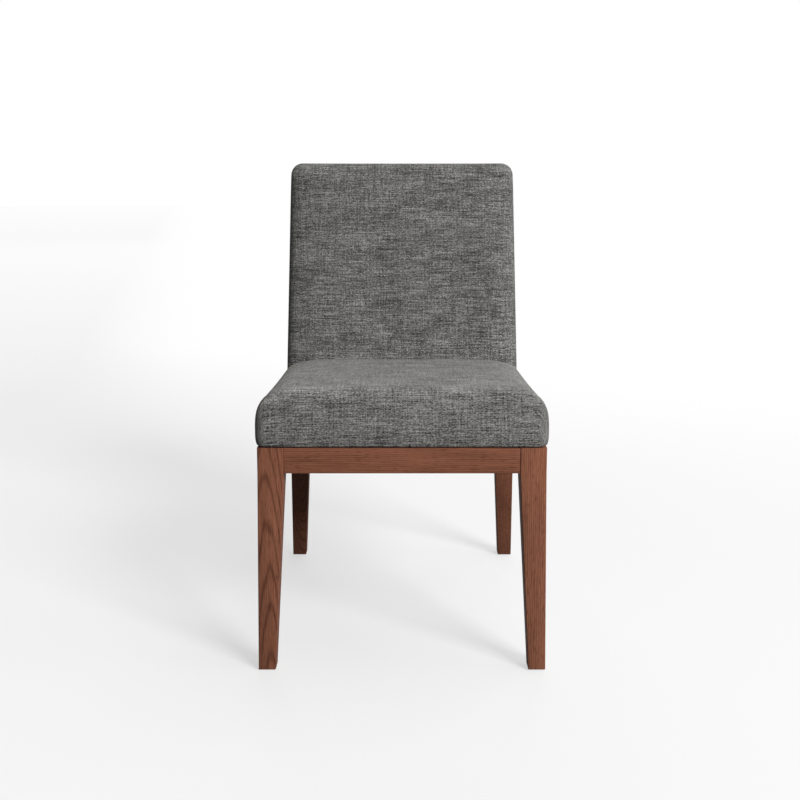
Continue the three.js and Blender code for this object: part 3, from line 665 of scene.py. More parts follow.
@dataclass(frozen=True)
class Timber:
    """A wood and how its surface was made."""

    title: str
    early: str
    late: str
    pore: str
    ring_mm: float
    roughness: float
    coat: float
    contrast: float = 0.8
    ring_edge: float = 5.0  # the higher it is, the thinner is the dark line that ends a ring
    waver: float = 5.0  # how far the rings stray from circles
    waver_mm: float = 26.0  # and how large those strays are across the log
    squeeze: float = 0.11  # the rings stray slowly along the log, whose length is squeezed to this share

    def material(self, board: Board) -> bpy.types.Material:
        """Makes the material for one board.

        Args:
            board: how the piece was sawn.

        Returns:
            The material, named for the wood.
        """
        # The lacquer alone shines; the wood under it doesn't
        surface = Surface(self.title, Coat_Weight=self.coat, Coat_Roughness=0.35, Specular_IOR_Level=0.0)
        centre = tuple(-c for c in board.centre)
        body = surface.node("ShaderNodeTexCoord").outputs["Object"]
        place = surface.node("ShaderNodeMapping", {"Vector": body, "Location": centre})
        upright = Euler([math.radians(a) for a in board.grain.value])
        turned = surface.node("ShaderNodeMapping", {"Vector": place.outputs[0], "Rotation": upright})
        fibre = turned.outputs[0]
        tilt = Euler((math.radians(board.tilt_deg[0]), math.radians(board.tilt_deg[1]), 0))
        pith = (board.pith_mm[0] * MM, board.pith_mm[1] * MM, board.shift)
        log_place = surface.node(
            "ShaderNodeMapping", {"Vector": fibre, "Rotation": tilt, "Location": pith}
        )
        shares = (1, 1, self.squeeze)
        squeezed = surface.node("ShaderNodeMapping", {"Vector": log_place.outputs[0], "Scale": shares})
        ring_scale = WAVE_PITCH / (self.ring_mm * MM)
        circles = {
            "Vector": squeezed.outputs[0],
            "Scale": ring_scale,
            "Distortion": self.waver,
            "Detail": 2.0,
            "Detail Scale": 1 / (ring_scale * self.waver_mm * MM),
            "Detail Roughness": 0.5,
        }
        rings = surface.node("ShaderNodeTexWave", circles, wave_type="RINGS", rings_direction="Z")
        darkening = {0: rings.outputs["Fac"], 1: self.ring_edge}
        late_wood = surface.node("ShaderNodeMath", darkening, operation="POWER").outputs[0]
        fibres = surface.streaks(fibre, (0.8, 0.8, 60), board.shift + 2.0, 3.0)
        patches = surface.streaks(fibre, (14, 14, 130), board.shift + 9.0)
        pores = surface.streaks(fibre, (0.9, 0.9, 16), board.shift + 4.0, 1.0)
        tone = surface.blend(((late_wood, 0.5 * self.contrast), (fibres, 1.0), (patches, 0.5)))
        span = (0.5 - board.stain, 1.25 - board.stain)
        wood = surface.tint(tone, span, self.early, self.late)
        open_pores = (0.58, 0.7)
        surface.link(surface.tint(pores, open_pores, wood, self.pore, 0.6), "Base Color")
        surface.wear(fibres, (0.3, 0.7), self.roughness - 0.06, self.roughness + 0.08)
        surface.press(((fibres, 0.5), (pores, -1.2)), 0.12, 0.35)
        return surface.material


STAINED_RUBBERWOOD = Timber(
    # Rubberwood under a walnut stain and a sprayed satin lacquer: reddish brown, with darker rings that
    # the stain brings out, fine open pores and a soft shine on the edges
    title="walnut-stained rubberwood, satin lacquer",
    early="#895944",
    late="#553326",
    pore="#371b12",
    ring_mm=3.2,
    roughness=0.45,
    coat=0.16,
)
PLANED_POPLAR = Timber(
    # Poplar straight from the planer: pale, a little green, with faint rings and no finish
    title="planed poplar",
    early="#c7b08a",
    late="#a98f66",
    pore="#8d744f",
    ring_mm=6.0,
    roughness=0.68,
    coat=0.0,
    contrast=0.6,
)


@dataclass(frozen=True)
class BirchPlywood:
    """Sanded birch plywood: pale faces, and edges that show its plies as fine stripes."""

    title: str = "sanded birch plywood"
    pale: str = "#cdb48a"
    warm: str = "#b0915f"
    ply_mm: float = 1.5

    def material(self) -> bpy.types.Material:
        """Makes the material."""
        surface = Surface(self.title, Roughness=0.7, Specular_IOR_Level=0.3)
        place = surface.node("ShaderNodeTexCoord").outputs["Object"]
        fibres = surface.streaks(place, (40, 1.2, 1.2), 1.7)
        stripes = {"Vector": place, "Scale": WAVE_PITCH / (2 * self.ply_mm * MM), "Distortion": 0.4}
        plies = surface.node("ShaderNodeTexWave", stripes, wave_type="BANDS", bands_direction="Z")
        tone = surface.blend(((fibres, 0.7), (plies.outputs["Fac"], 0.35)))
        surface.link(surface.tint(tone, (0.2, 0.9), self.pale, self.warm), "Base Color")
        surface.press(((fibres, 1.0),), 0.1, 0.3)
        return surface.material


@dataclass(frozen=True)
class FoamStock:
    """Cut polyurethane foam: cream, matt, with open cells all over."""

    title: str = "cut polyurethane foam"
    light: str = "#ded5b4"
    shade: str = "#b9ae8a"
    cell_mm: float = 1.4

    def material(self) -> bpy.types.Material:
        """Makes the material."""
        surface = Surface(self.title, Roughness=0.95, Specular_IOR_Level=0.2)
        place = surface.node("ShaderNodeTexCoord").outputs["Object"]
        size = {"Vector": place, "Scale": 1 / (self.cell_mm * MM)}
        cells = surface.node("ShaderNodeTexVoronoi", size).outputs["Distance"]
        surface.link(surface.tint(cells, (0.1, 0.9), self.shade, self.light), "Base Color")
        surface.press(((cells, 1.0),), 0.6, 0.7)
        return surface.material


@dataclass(frozen=True)
class FibreCloth:
    """Loose or bonded fibre, from wadding to spunbond dust cloth: matt, with a fine felted grain."""

    title: str
    light: str
    shade: str
    tuft_mm: tuple[float, float, float]
    depth_mm: float
    sheen: float

    def material(self) -> bpy.types.Material:
        """Makes the material."""
        surface = Surface(
            self.title, Roughness=0.92, Specular_IOR_Level=0.25, Sheen_Weight=self.sheen, Sheen_Roughness=0.5
        )
        place = surface.node("ShaderNodeTexCoord").outputs["Object"]
        tufts = surface.streaks(place, self.tuft_mm, 6.1, 4.0)
        size = {"Vector": place, "Scale": 1 / (self.tuft_mm[1] * MM)}
        pits = surface.node("ShaderNodeTexVoronoi", size).outputs["Distance"]
        layers = ((tufts, 0.8), (pits, 0.4))
        surface.link(surface.tint(surface.blend(layers), (0.3, 0.9), self.shade, self.light), "Base Color")
        surface.press(layers, self.depth_mm, 0.6)
        return surface.material


POLYESTER_WADDING = FibreCloth(
    # Bonded polyester wadding: white, springy, with long crimped fibres
    title="bonded polyester wadding",
    light="#eeece6",
    shade="#cfccc4",
    tuft_mm=(9.0, 3.0, 9.0),
    depth_mm=1.0,
    sheen=0.3,
)
SPUNBOND_CLOTH = FibreCloth(
    # Spunbond polypropylene: thin black cloth with a fine embossed dimple pattern
    title="spunbond dust cloth",
    light="#2c2c2e",
    shade="#141416",
    tuft_mm=(4.0, 2.2, 4.0),
    depth_mm=0.2,
    sheen=0.15,
)


@dataclass(frozen=True)
class WovenElastic:
    """Woven elastic upholstery webbing: charcoal, with a rib along each rubber core."""

    title: str
    ribs_along: str  # the axis across which the ribs repeat, X or Z
    dark: str = "#262626"
    light: str = "#4c4c4c"
    rib_mm: float = 2.4

    def material(self) -> bpy.types.Material:
        """Makes the material."""
        surface = Surface(self.title, Roughness=0.8, Sheen_Weight=0.1)
        place = surface.node("ShaderNodeTexCoord").outputs["Object"]
        stripes = {"Vector": place, "Scale": WAVE_PITCH / (self.rib_mm * MM)}
        ribs = surface.node("ShaderNodeTexWave", stripes, wave_type="BANDS", bands_direction=self.ribs_along)
        picks = surface.streaks(place, (0.9, 0.9, 0.9), 2.2)
        layers = ((ribs.outputs["Fac"], 0.6), (picks, 0.6))
        surface.link(surface.tint(surface.blend(layers), (0.2, 0.9), self.dark, self.light), "Base Color")
        surface.press(layers, 0.5, 0.8)
        return surface.material


@dataclass(frozen=True)
class ZincPlate:
    """Zinc-plated steel wire and screws: bluish grey metal, bright but slightly cloudy."""

    title: str = "zinc-plated steel"
    bright: str = "#c3c6c8"
    cloudy: str = "#9da1a0"

    def material(self) -> bpy.types.Material:
        """Makes the material."""
        surface = Surface(self.title, Metallic=1.0)
        place = surface.node("ShaderNodeTexCoord").outputs["Object"]
        bloom = surface.streaks(place, (2.5, 2.5, 2.5), 8.4, 3.0)
        surface.link(surface.tint(bloom, (0.35, 0.65), self.bright, self.cloudy), "Base Color")
        surface.wear(bloom, (0.3, 0.7), 0.24, 0.42)
        surface.press(((bloom, 1.0),), 0.05, 0.2)
        return surface.material


@dataclass(frozen=True)
class MouldedNylon:
    """Injection-moulded nylon: near black, with a faint spark-eroded grain that scuffs duller."""

    title: str = "moulded nylon"
    body: str = "#2b2b2b"
    scuff: str = "#4a4947"

    def material(self) -> bpy.types.Material:
        """Makes the material."""
        surface = Surface(self.title, IOR=1.53)
        place = surface.node("ShaderNodeTexCoord").outputs["Object"]
        grain = surface.streaks(place, (0.4, 0.4, 0.4), 1.1)
        wear = surface.streaks(place, (5, 5, 5), 4.4)
        surface.link(surface.tint(wear, (0.45, 0.7), self.body, self.scuff, 0.6), "Base Color")
        surface.wear(wear, (0.3, 0.7), 0.42, 0.6)
        surface.press(((grain, 1.0),), 0.05, 0.3)
        return surface.material


# Dressing


def dress(piece: Piece, material: bpy.types.Material, slot: Slot, *nodes: str) -> None:
    """Gives a finished piece its material, and lets it ride on the chair and stand for nodes of the frame.

    Args:
        piece: the finished piece.
        material: its material.
        slot: the record's slot for it, which is not used.
        nodes: the nodes that it stands for.
    """
    piece.data.materials.clear()
    piece.data.materials.append(material)
    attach(piece, "root")
    if nodes:
        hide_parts(*nodes)
    log.info("%s: %d faces", piece.name, len(piece.data.polygons))


def dress_node(node: str, material: bpy.types.Material) -> None:
    """Gives a node that stays in view its material."""
    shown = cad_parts[node]
    if shown.material_slots:
        for spot in shown.material_slots:
            spot.material = material
    else:
        shown.data.materials.append(material)
    log.info("%s: kept from the frame", node)


def write_weave_map(piece: Piece, places: np.ndarray) -> None:
    """Stores each vertex's place on the cloth as the piece's UV map.

    Args:
        piece: the cloth.
        places: two numbers for each vertex, in metres along the threads.
    """
    while piece.data.uv_layers:
        piece.data.uv_layers.remove(piece.data.uv_layers[0])
    layer = piece.data.uv_layers.new(name=WEAVE_MAP)
    corners = np.empty(len(piece.data.loops), np.int32)
    piece.data.loops.foreach_get("vertex_index", corners)
    layer.data.foreach_set("uv", places[corners].astype(np.float32).ravel())


@dataclass(frozen=True)
class Inflation:
    """How a sewn cover swells over its foam, simulated as cloth under pressure.

    Attributes:
        pressure: the cloth's inner pressure.
        frames: how many frames the simulation runs.
        cap: the furthest that any point moves.
        stiffness: how hard the cloth is to stretch.
        foam_grip: how firmly the foam inside keeps the cloth to its shape, from 0 to 1.
    """

    pressure: float = 25.0
    frames: int = 20
    cap: float = 0.006
    stiffness: float = 20.0
    foam_grip: float = 0.3

    def run(self, form: Piece, held: np.ndarray) -> None:
        """Swells a closed form.

        Args:
            form: the form, which is changed.
            held: the numbers of the vertices that stay where they are.
        """
        start = points_of(form)
        group = form.vertex_groups.new(name="held")
        group.add(list(range(len(start))), self.foam_grip, "REPLACE")
        group.add([int(k) for k in held], 1.0, "REPLACE")
        cloth = form.modifiers.new("cloth", "CLOTH")
        cloth.settings.vertex_group_mass = group.name
        cloth.settings.tension_stiffness = self.stiffness
        cloth.settings.compression_stiffness = self.stiffness
        cloth.settings.shear_stiffness = self.stiffness
        cloth.settings.use_pressure = True
        cloth.settings.uniform_pressure_force = self.pressure
        cloth.settings.effector_weights.gravity = 0
        cloth.point_cache.frame_end = self.frames
        for moment in range(1, self.frames + 1):
            bpy.context.scene.frame_set(moment)
        activate(form)
        bpy.ops.object.modifier_apply(modifier=cloth.name)
        bpy.context.scene.frame_set(1)
        form.vertex_groups.clear()
        step = points_of(form) - start
        length = np.linalg.norm(step, axis=1, keepdims=True)
        # Small moves stay as they are, and large ones come closer and closer to the cap
        capped = self.cap * np.tanh(length / self.cap)
        set_points(form, start + step * capped / np.maximum(length, 1e-9))


# Sub-assemblies


@dataclass
class Base:
    """The wooden base: four tapered legs, the rear ones with the back's posts, and four aprons."""

    foot_side: float = 0.029
    block_side: float = 0.0435
    apron_thickness: float = 0.022
    tenon_thickness: float = 0.009
    tenon_length: float = 0.017
    tenon_shoulder: float = 0.006
    leg_edge: float = 0.0016
    apron_edge: float = 0.0012
    post_width: float = 0.028
    post_depth: float = 0.0312
    post_setback: float = 0.0026  # from the block's front face to the post's
    post_inset: float = 0.0047  # from the block's outer face to the post's
    post_taper: float = 0.005
    lean_deg: float = 12.9
    steepness: float = 0.8  # the least that a leg's or a leaning post's long edges have of the Z axis
    nail_radius: float = 0.0018

    def build(self) -> None:
        """Builds and dresses every piece of the base."""
        for end in ("front", "rear"):
            right = self.leg(end)
            mirror = Matrix.Diagonal((-1, 1, 1, 1))
            left = placed_copy(right, f"{end}_leg_left_wood", mirror)
            for side, leg in (("left", left), ("right", right)):
                wood = STAINED_RUBBERWOOD.material(self.leg_board(end, side))
                dress(leg, wood, Slot.STAINED_WOOD, f"{end}_leg_{side}")
        for node in ("front_apron", "rear_apron", "side_apron_left", "side_apron_right"):
            wood = STAINED_RUBBERWOOD.material(self.apron_board(node))
            dress(self.apron(node), wood, Slot.STAINED_WOOD, node)

    def leg_board(self, end: str, side: str) -> Board:
        """How a leg was sawn: flat on the left, where arches show, and on the quarter on the right."""
        centre = box_middle(f"{end}_leg_{side}")
        if side == "left":
            shift, stain = (0.37, 0.03) if end == "front" else (1.9, -0.15)
            return Board(centre, Grain.ALONG_Z, (4.0, 62.0), (-2.6, 0.8), shift, stain)
        shift, stain = (0.83, -0.17) if end == "front" else (2.6, 0.15)
        return Board(centre, Grain.ALONG_Z, (75.0, 14.0), (0.3, 0.5), shift, stain)

    def apron_board(self, node: str) -> Board:
        """How an apron was sawn."""
        grain = Grain.ALONG_Y if "side" in node else Grain.ALONG_X
        shift = {"front_apron": 0.12, "rear_apron": 1.31, "side_apron_left": 2.2}.get(node, 3.1)
        return Board(box_middle(node), grain, (58.0, 24.0), (0.4, 0.5), shift)

    def tenon_boxes(self, node: str, margin: float) -> list[tuple[Vector, Vector]]:
        """The boxes of an apron's two tenons.

        Args:
            node: the apron.
            margin: how much wider than the tenon the boxes are all round.

        Returns:
            A lowest and a highest corner for each tenon.
        """
        low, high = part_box(node)
        axis = 0 if high.x - low.x > high.y - low.y else 1
        across = 1 - axis
        middle = (low[across] + high[across]) / 2
        boxes = []
        for end, inward in ((low[axis], 1), (high[axis], -1)):
            first, last = Vector(low), Vector(high)
            span = sorted((end - inward * margin, end + inward * (self.tenon_length + OVERRUN)))
            first[axis], last[axis] = span
            first[across] = middle - self.tenon_thickness / 2 - margin
            last[across] = middle + self.tenon_thickness / 2 + margin
            first.z += self.tenon_shoulder - margin
            last.z -= self.tenon_shoulder - margin
            boxes.append((first, last))
        return boxes

    def leg(self, end: str) -> Piece:
        """Models the right leg of one end, with its mortises and the hole for its glide's nail.

        Args:
            end: front or rear.

        Returns:
            The leg.
        """
        node = f"{end}_leg_right"
        low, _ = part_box(node)
        apron_low, apron_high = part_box("side_apron_right")
        top, shoulder = apron_high.z, apron_low.z
        front = low.y if end == "front" else apron_high.y - self.tenon_length + SEATING_GAP
        block_low = (low.x, front, shoulder)
        block_high = (low.x + self.block_side, front + self.block_side, top)
        leg = add_box(f"{node}_wood", block_low, block_high)
        glide_low, glide_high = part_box(f"floor_glide_{end}_right")
        foot = (glide_low + glide_high) / 2
        with editing(leg):
            self.shape_foot(low.z, shoulder, foot)
            if end == "rear":
                self.raise_post(node, top)
            select(Pick.EDGE, lambda _middle, way: abs(way.z) > self.steepness)
            round_edges(self.leg_edge, 3)
            select(Pick.EDGE, lambda middle, _way: middle.z < low.z + NEAR)
            round_edges(self.leg_edge / 2, 2)
        self.cut_mortises(leg, end)
        nail = (foot.x, foot.y, low.z)
        carve(leg, add_cylinder("bore", self.nail_radius, 2 * (glide_high.z - low.z), 16, nail))
        shade(leg, WOOD_EDGE_DEG)
        return leg

    def shape_foot(self, floor: float, shoulder: float, foot: Vector) -> None:
        """Draws the block's lower face down to the foot, in edit mode.

        Args:
            floor: the height of the foot's underside.
            shoulder: the height of the block's lower face.
            foot: the middle of the foot.
        """
        select(Pick.FACE, lambda _middle, normal: normal.z < -ALONG)
        extrude((0, 0, floor - shoulder))
        share = self.foot_side / self.block_side
        resize((share, share, 1))
        middle = picked_middle()
        move((foot.x - middle.x, foot.y - middle.y, 0))

    def raise_post(self, node: str, top: float) -> None:
        """Draws the rear leg's block up into the back's post, in edit mode.

        Args:
            node: the leg, whose box gives the post's top.
            top: the height of the block's upper face.
        """
        _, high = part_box(node)
        select(Pick.FACE, lambda _middle, normal: normal.z > ALONG)
        extrude((0, 0, 0))
        resize((self.post_width / self.block_side, self.post_depth / self.block_side, 1))
        step_x = (self.block_side - self.post_width) / 2 - self.post_inset
        step_y = self.post_setback + self.post_depth / 2 - self.block_side / 2
        move((step_x, step_y, 0))
        lean = math.radians(self.lean_deg)
        half_drop = self.post_depth * math.sin(lean) / 2
        rise = high.z - half_drop - top
        extrude((-self.post_taper, rise * math.tan(lean), rise))
        middle = picked_middle().y
        # The post's top is square to its lean, so its front edge goes up and its rear edge down
        for side in (-1, 1):
            select(
                Pick.EDGE,
                lambda m, way: abs(way.x) > ALONG
                and (m.y - middle) * side > self.post_depth / 4
                and abs(m.z - top - rise) < NEAR,
            )
            move((0, -side * half_drop * math.tan(lean), -side * half_drop))

    def cut_mortises(self, leg: Piece, end: str) -> None:
        """Cuts the mortises that the leg's two aprons need."""
        cross = self.tenon_boxes(f"{end}_apron", SEATING_GAP)[1]
        side = self.tenon_boxes("side_apron_right", SEATING_GAP)[0 if end == "front" else 1]
        for low, high in (cross, side):
            carve(leg, add_box("mortise", low, high))

    def apron(self, node: str) -> Piece:
        """Models one apron with a tenon at each end.

        Args:
            node: the apron.

        Returns:
            The apron.
        """
        low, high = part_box(node)
        axis = 0 if high.x - low.x > high.y - low.y else 1
        first, last = Vector(low), Vector(high)
        first[axis] += self.tenon_length
        last[axis] -= self.tenon_length
        board = add_box(f"{node}_wood", first, last)
        outward = 1 if node in ("side_apron_right", "rear_apron") else -1
        across = 1 - axis
        outer = last[across] if outward > 0 else first[across]
        with editing(board):
            # All edges of the outer face, so that a fine line shows where it meets the legs
            select(Pick.EDGE, lambda middle, _way: abs(middle[across] - outer) < NEAR)
            round_edges(self.apron_edge, 3)
            select(Pick.FACE, lambda _middle, normal: abs(normal[axis]) > ALONG)
            bpy.ops.mesh.inset(thickness=self.tenon_shoulder)
            squeeze = [1.0, 1.0, 1.0]
            squeeze[across] = self.tenon_thickness / (self.apron_thickness - 2 * self.tenon_shoulder)
            resize(squeeze)
            bpy.ops.mesh.extrude_region_shrink_fatten(
                TRANSFORM_OT_shrink_fatten={"value": self.tenon_length}
            )
        shade(board, WOOD_EDGE_DEG)
        return board


@dataclass
class Hardware:
    """What holds the base together and lifts it off the floor: corner blocks, screws and glides."""

    shank_radius: float = 0.0021
    head_radius: float = 0.0042
    head_height: float = 0.0026
    cone_share: float = 0.5  # the narrow end of the head's cone, as a share of the wide one
    point_length: float = 0.005
    point_share: float = 0.08  # the width of a screw's point, as a share of its shank's
    thread_pitch: float = 0.0018
    thread_depth: float = 0.0005
    recess_width: float = 0.0009
    recess_depth: float = 0.0014
    recess_share: float = 0.55  # how much of the head's radius each arm takes up
    glide_edge: float = 0.0005
    glide_thickness: float = 0.0012
    nail_radius: float = 0.0014
    nail_point: float = 0.003
    nail_point_share: float = 0.1

    def build(self) -> None:
        """Builds and dresses the screws and glides, and dresses the corner blocks."""
        steel = ZincPlate().material()
        nylon = MouldedNylon().material()
        for index, node in enumerate(n for n in sorted(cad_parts) if n.startswith("corner_block")):
            board = Board(box_middle(node), Grain.ALONG_X, (70.0, 20.0), (0.5, 0.5), 0.9 * index)
            dress_node(node, PLANED_POPLAR.material(board))
        patterns: dict[int, Piece] = {}
        for node in sorted(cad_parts):
            if "_screw_" in node:
                self.place_screw(node, patterns, steel)
            elif node.startswith("floor_glide"):
                dress(self.glide(node), nylon, Slot.NYLON, node)
        for pattern in patterns.values():
            bpy.data.objects.remove(pattern)

    def place_screw(self, node: str, patterns: dict[int, Piece], steel: bpy.types.Material) -> None:
        """Puts a copy of a screw where the frame has one, with its head towards the chair's middle.

        Args:
            node: the screw's node.
            patterns: the screws made so far, by their length in whole tenths of a millimetre.
            steel: their material.
        """
        low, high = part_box(node)
        size = high - low
        axis = max(range(3), key=lambda k: size[k])
        key = round(size[axis] / MM * 10)
        if key not in patterns:
            patterns[key] = self.screw(size[axis])
        ends = sorted((low[axis], high[axis]), key=abs)
        head = (low + high) / 2
        head[axis] = ends[0]
        way = Vector((0, 0, 0))
        way[axis] = math.copysign(1, ends[1] - ends[0])
        turn = way.to_track_quat("Z", "Y").to_matrix().to_4x4()
        screw = placed_copy(patterns[key], f"{node}_steel", Matrix.Translation(head) @ turn)
        shade(screw, METAL_EDGE_DEG)
        dress(screw, steel, Slot.STEEL, node)

    def screw(self, length: float) -> Piece:
        """Models a screw along +Z with its head at the origin.

        Args:
            length: its whole length.

        Returns:
            The screw.
        """
        rim = self.head_height / 2  # the head's upright rim, over its cone
        screw = add_cylinder("screw pattern", self.head_radius, rim, 20)
        with editing(screw):
            select_everything()
            move((0, 0, self.head_height - rim / 2))
            select(Pick.FACE, lambda _middle, normal: normal.z < -ALONG)
            extrude((0, 0, rim - self.head_height))
            resize((self.cone_share, self.cone_share, 1))
            select(Pick.FACE, lambda _middle, normal: normal.z > ALONG)
            bpy.ops.mesh.inset(thickness=self.head_radius - self.shank_radius)
            self.roll_thread(length)
        for turn in (0, 90):
            self.cut_recess(screw, turn)
        return screw

    def roll_thread(self, length: float) -> None:
        """Draws the selected end out into a ridged shank with a point, in edit mode."""
        turns = int((length - self.head_height - self.point_length) / self.thread_pitch)
        root = 1 - self.thread_depth / self.shank_radius
        for _ in range(turns):
            extrude((0, 0, self.thread_pitch / 2))
            resize((root, root, 1))
            extrude((0, 0, self.thread_pitch / 2))
            resize((1 / root, 1 / root, 1))
        left = length - self.head_height - turns * self.thread_pitch
        extrude((0, 0, left))
        resize((self.point_share, self.point_share, 1))

    def cut_recess(self, screw: Piece, turn_deg: float) -> None:
        """Cuts one arm of the cross recess into the head."""
        reach = self.head_radius * self.recess_share
        half = self.recess_width / 2
        arm = add_box("recess", (-reach, -half, -self.recess_depth), (reach, half, self.recess_depth))
        arm.rotation_euler.z = math.radians(turn_deg)
        carve(screw, settle(arm, "recess"))

    def glide(self, node: str) -> Piece:
        """Models a nail-in glide: a round pad with a softened rim and a pointed nail.

        Args:
            node: the glide's node.

        Returns:
            The glide.
        """
        low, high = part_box(node)
        middle = (low + high) / 2
        radius = (high.x - low.x) / 2
        pad_middle = (middle.x, middle.y, self.glide_thickness / 2)
        glide = add_cylinder(f"{node}_nylon", radius, self.glide_thickness, 40, pad_middle)
        with editing(glide):
            select(Pick.EDGE, lambda place, way: place.z < NEAR and abs(way.z) < ACROSS)
            round_edges(self.glide_edge, 3)
            select(Pick.FACE, lambda _place, normal: normal.z > ALONG)
            bpy.ops.mesh.inset(thickness=radius - self.nail_radius)
            extrude((0, 0, high.z - self.glide_thickness - self.nail_point))
            extrude((0, 0, self.nail_point))
            resize((self.nail_point_share, self.nail_point_share, 1))
        shade(glide, METAL_EDGE_DEG)
        return glide


@dataclass
class Seat:
    """The seat: its cover and foam over a board, and the dust cloth under it."""

    corner_radius: float = 0.015
    front_reach: float = 0.009  # how far the front's upper edge rolls in over the top
    front_drop: float = 0.007  # how far it rolls down
    side_reach: tuple[float, float] = (0.047, 0.08)  # the same for the sides, at the front and the rear
    side_drop: tuple[float, float] = (0.055, 0.0225)
    side_steps: int = 8
    lower_reach: float = 0.006  # how far the walls pull in to the lower edge
    lower_height: float = 0.018
    lower_steps: int = 6
    tuck_reach: float = 0.005  # how far the cloth then turns in under itself
    tuck_height: float = 0.0044
    stiff_height: float = 0.018  # the lowest part of the walls, which is the same height everywhere
    held_height: float = 0.006  # up to here the cloth is held to the board while it swells
    held_depth: float = 0.002  # and this near its rear
    front_rise: float = 0.032
    rise_power: float = 0.78
    rear_height: float = 0.4538
    lean_deg: float = 12.9
    slim: float = -0.0008  # how much slimmer the form starts; less than 0, as the cloth draws in
    cover_thickness: float = 0.0016
    hem: float = 0.034
    straightening: float = 0.05  # the depth in which the cloth's threads straighten out to the front
    slice_width: float = 0.011
    underside: float = 0.002  # how high above its lowest point the form still counts as its underside
    dust_sag: float = 0.004
    dust_fold: float = 0.014
    dust_slice: float = 0.012
    staple_length: float = 0.0095
    staple_wire: float = 0.0006
    staple_leg: float = 1.2  # how much of its legs is seen, as a share of the wire
    staple_round: float = 0.3  # the rounding of its crown, as a share of the wire
    staple_spacing: float = 0.036
    staple_sink: float = 0.0002  # how far a staple presses into the cloth
    staple_turns_deg: tuple[float, float] = (-6.0, 9.0)  # how far they lean, by turns

    def __post_init__(self) -> None:
        """Reads the seat's and the dust cloth's places from the frame."""
        self.low, self.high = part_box("seat_cover")
        self.board_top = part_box("seat_board")[1].z
        self.dust_low, self.dust_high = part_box("dust_cover")
        self.slope = math.tan(math.radians(self.lean_deg))
        self.rear_bottom = self.high.y - (self.rear_height - self.low.z) * self.slope

    def build(self) -> None:
        """Builds and dresses every piece of the seat."""
        # The seat's copy of the cloth has a lighter middle tone than the back's. This is painted light,
        # standing in for the brighter light that falls on the seat
        weave = MelangeWeave("melange upholstery weave, painted lighter on the seat", medium="#62615f").material()
        form = self.form()
        points = points_of(form)
        at_rear = self.upright(points)[:, 1] > self.rear_bottom - self.held_depth
        at_board = points[:, 2] < self.low.z + self.held_height
        Inflation().run(form, np.flatnonzero(at_board | at_rear))
        foam = self.foam(form)
        cover = self.cover(form)
        dress(cover, weave, Slot.UPHOLSTERY, "seat_cover")
        dress(foam, FoamStock().material(), Slot.FOAM, "seat_foam")
        dress_node("seat_board", BirchPlywood().material())
        dust = self.dust_cloth()
        dress(dust, SPUNBOND_CLOTH.material(), Slot.DUST_CLOTH, "dust_cover")
        size = self.dust_size()
        self.dust_area(size)
        dress(self.staples(), ZincPlate().material(), Slot.STEEL)

    def rearward(self, points: np.ndarray) -> np.ndarray:
        """How far back each point of the upright form lies, from 0 at the front to 1 at the rear."""
        return np.clip((points[:, 1] - self.low.y) / (self.rear_bottom - self.low.y), 0, 1)

    def upright(self, points: np.ndarray) -> np.ndarray:
        """The points of the leaning seat as the upright form has them."""
        lift = (points[:, 2] - self.low.z) * self.slope
        depth = self.rear_bottom - self.low.y
        back = points.copy()
        back[:, 1] = (points[:, 1] + lift * self.low.y / depth) / (1 + lift / depth)
        return back

    def top_height(self, points: np.ndarray) -> np.ndarray:
        """Height of the seat's upper surface along its middle, at the depth of each upright point."""
        return self.rear_height + self.front_rise * (1 - self.rearward(points)) ** self.rise_power

    def side_fall(self, points: np.ndarray) -> np.ndarray:
        """How far the surface has rolled down towards a side at each upright point."""
        share = self.rearward(points)
        reach = self.side_reach[0] + (self.side_reach[1] - self.side_reach[0]) * share
        drop = self.side_drop[0] + (self.side_drop[1] - self.side_drop[0]) * share
        over = np.clip((np.abs(points[:, 0]) - self.high.x + reach) / reach, 0, 1)
        return drop * (1 - np.sqrt(1 - over**2))

    def form(self) -> Piece:
        """Models the closed form of the cushion.

        Returns:
            The form, as it is before it swells.
        """
        slim = self.slim
        side, front, rear = self.high.x - slim, self.low.y + slim, self.rear_bottom
        wall_top = self.rear_height - self.front_drop
        form = add_box("seat form", (-side, front, self.low.z), (side, rear, wall_top))
        with editing(form):
            select(Pick.EDGE, lambda middle, way: abs(way.z) > ALONG and middle.y < front + NEAR)
            round_edges(self.corner_radius, 5)
            select(Pick.FACE, lambda _middle, normal: normal.z > ALONG)
            roll_face((0, 0, self.front_drop), (0, self.front_reach, 0), (1, rear - front, 1), (0, rear, 0))
            self.slice_form(side, front, rear, wall_top)
            select_everything()
            bpy.ops.mesh.remove_doubles(threshold=NEAR)
        set_points(form, self.shaped(points_of(form), wall_top))
        return form

    def slice_form(self, side: float, front: float, rear: float, wall_top: float) -> None:
        """Cuts the upright form into slices, closer together where it will bend more, in edit mode."""
        mean_reach = sum(self.side_reach) / 2
        turns = [math.pi / 2 * k / self.side_steps for k in range(self.side_steps)]
        rolled = [side - mean_reach * (1 - math.sin(turn)) for turn in turns]
        slice_at(0, [-place for place in rolled] + rolled)
        slice_evenly(0, -rolled[0], rolled[0], self.slice_width)
        slice_evenly(1, front, rear, self.slice_width)
        turns = [math.pi / 2 * k / self.lower_steps for k in range(self.lower_steps)]
        for height in (self.lower_height, self.tuck_height):
            slice_at(2, [self.low.z + height * (1 - math.sin(turn)) for turn in turns])
        slice_evenly(2, self.low.z + self.lower_height, wall_top, self.slice_width)

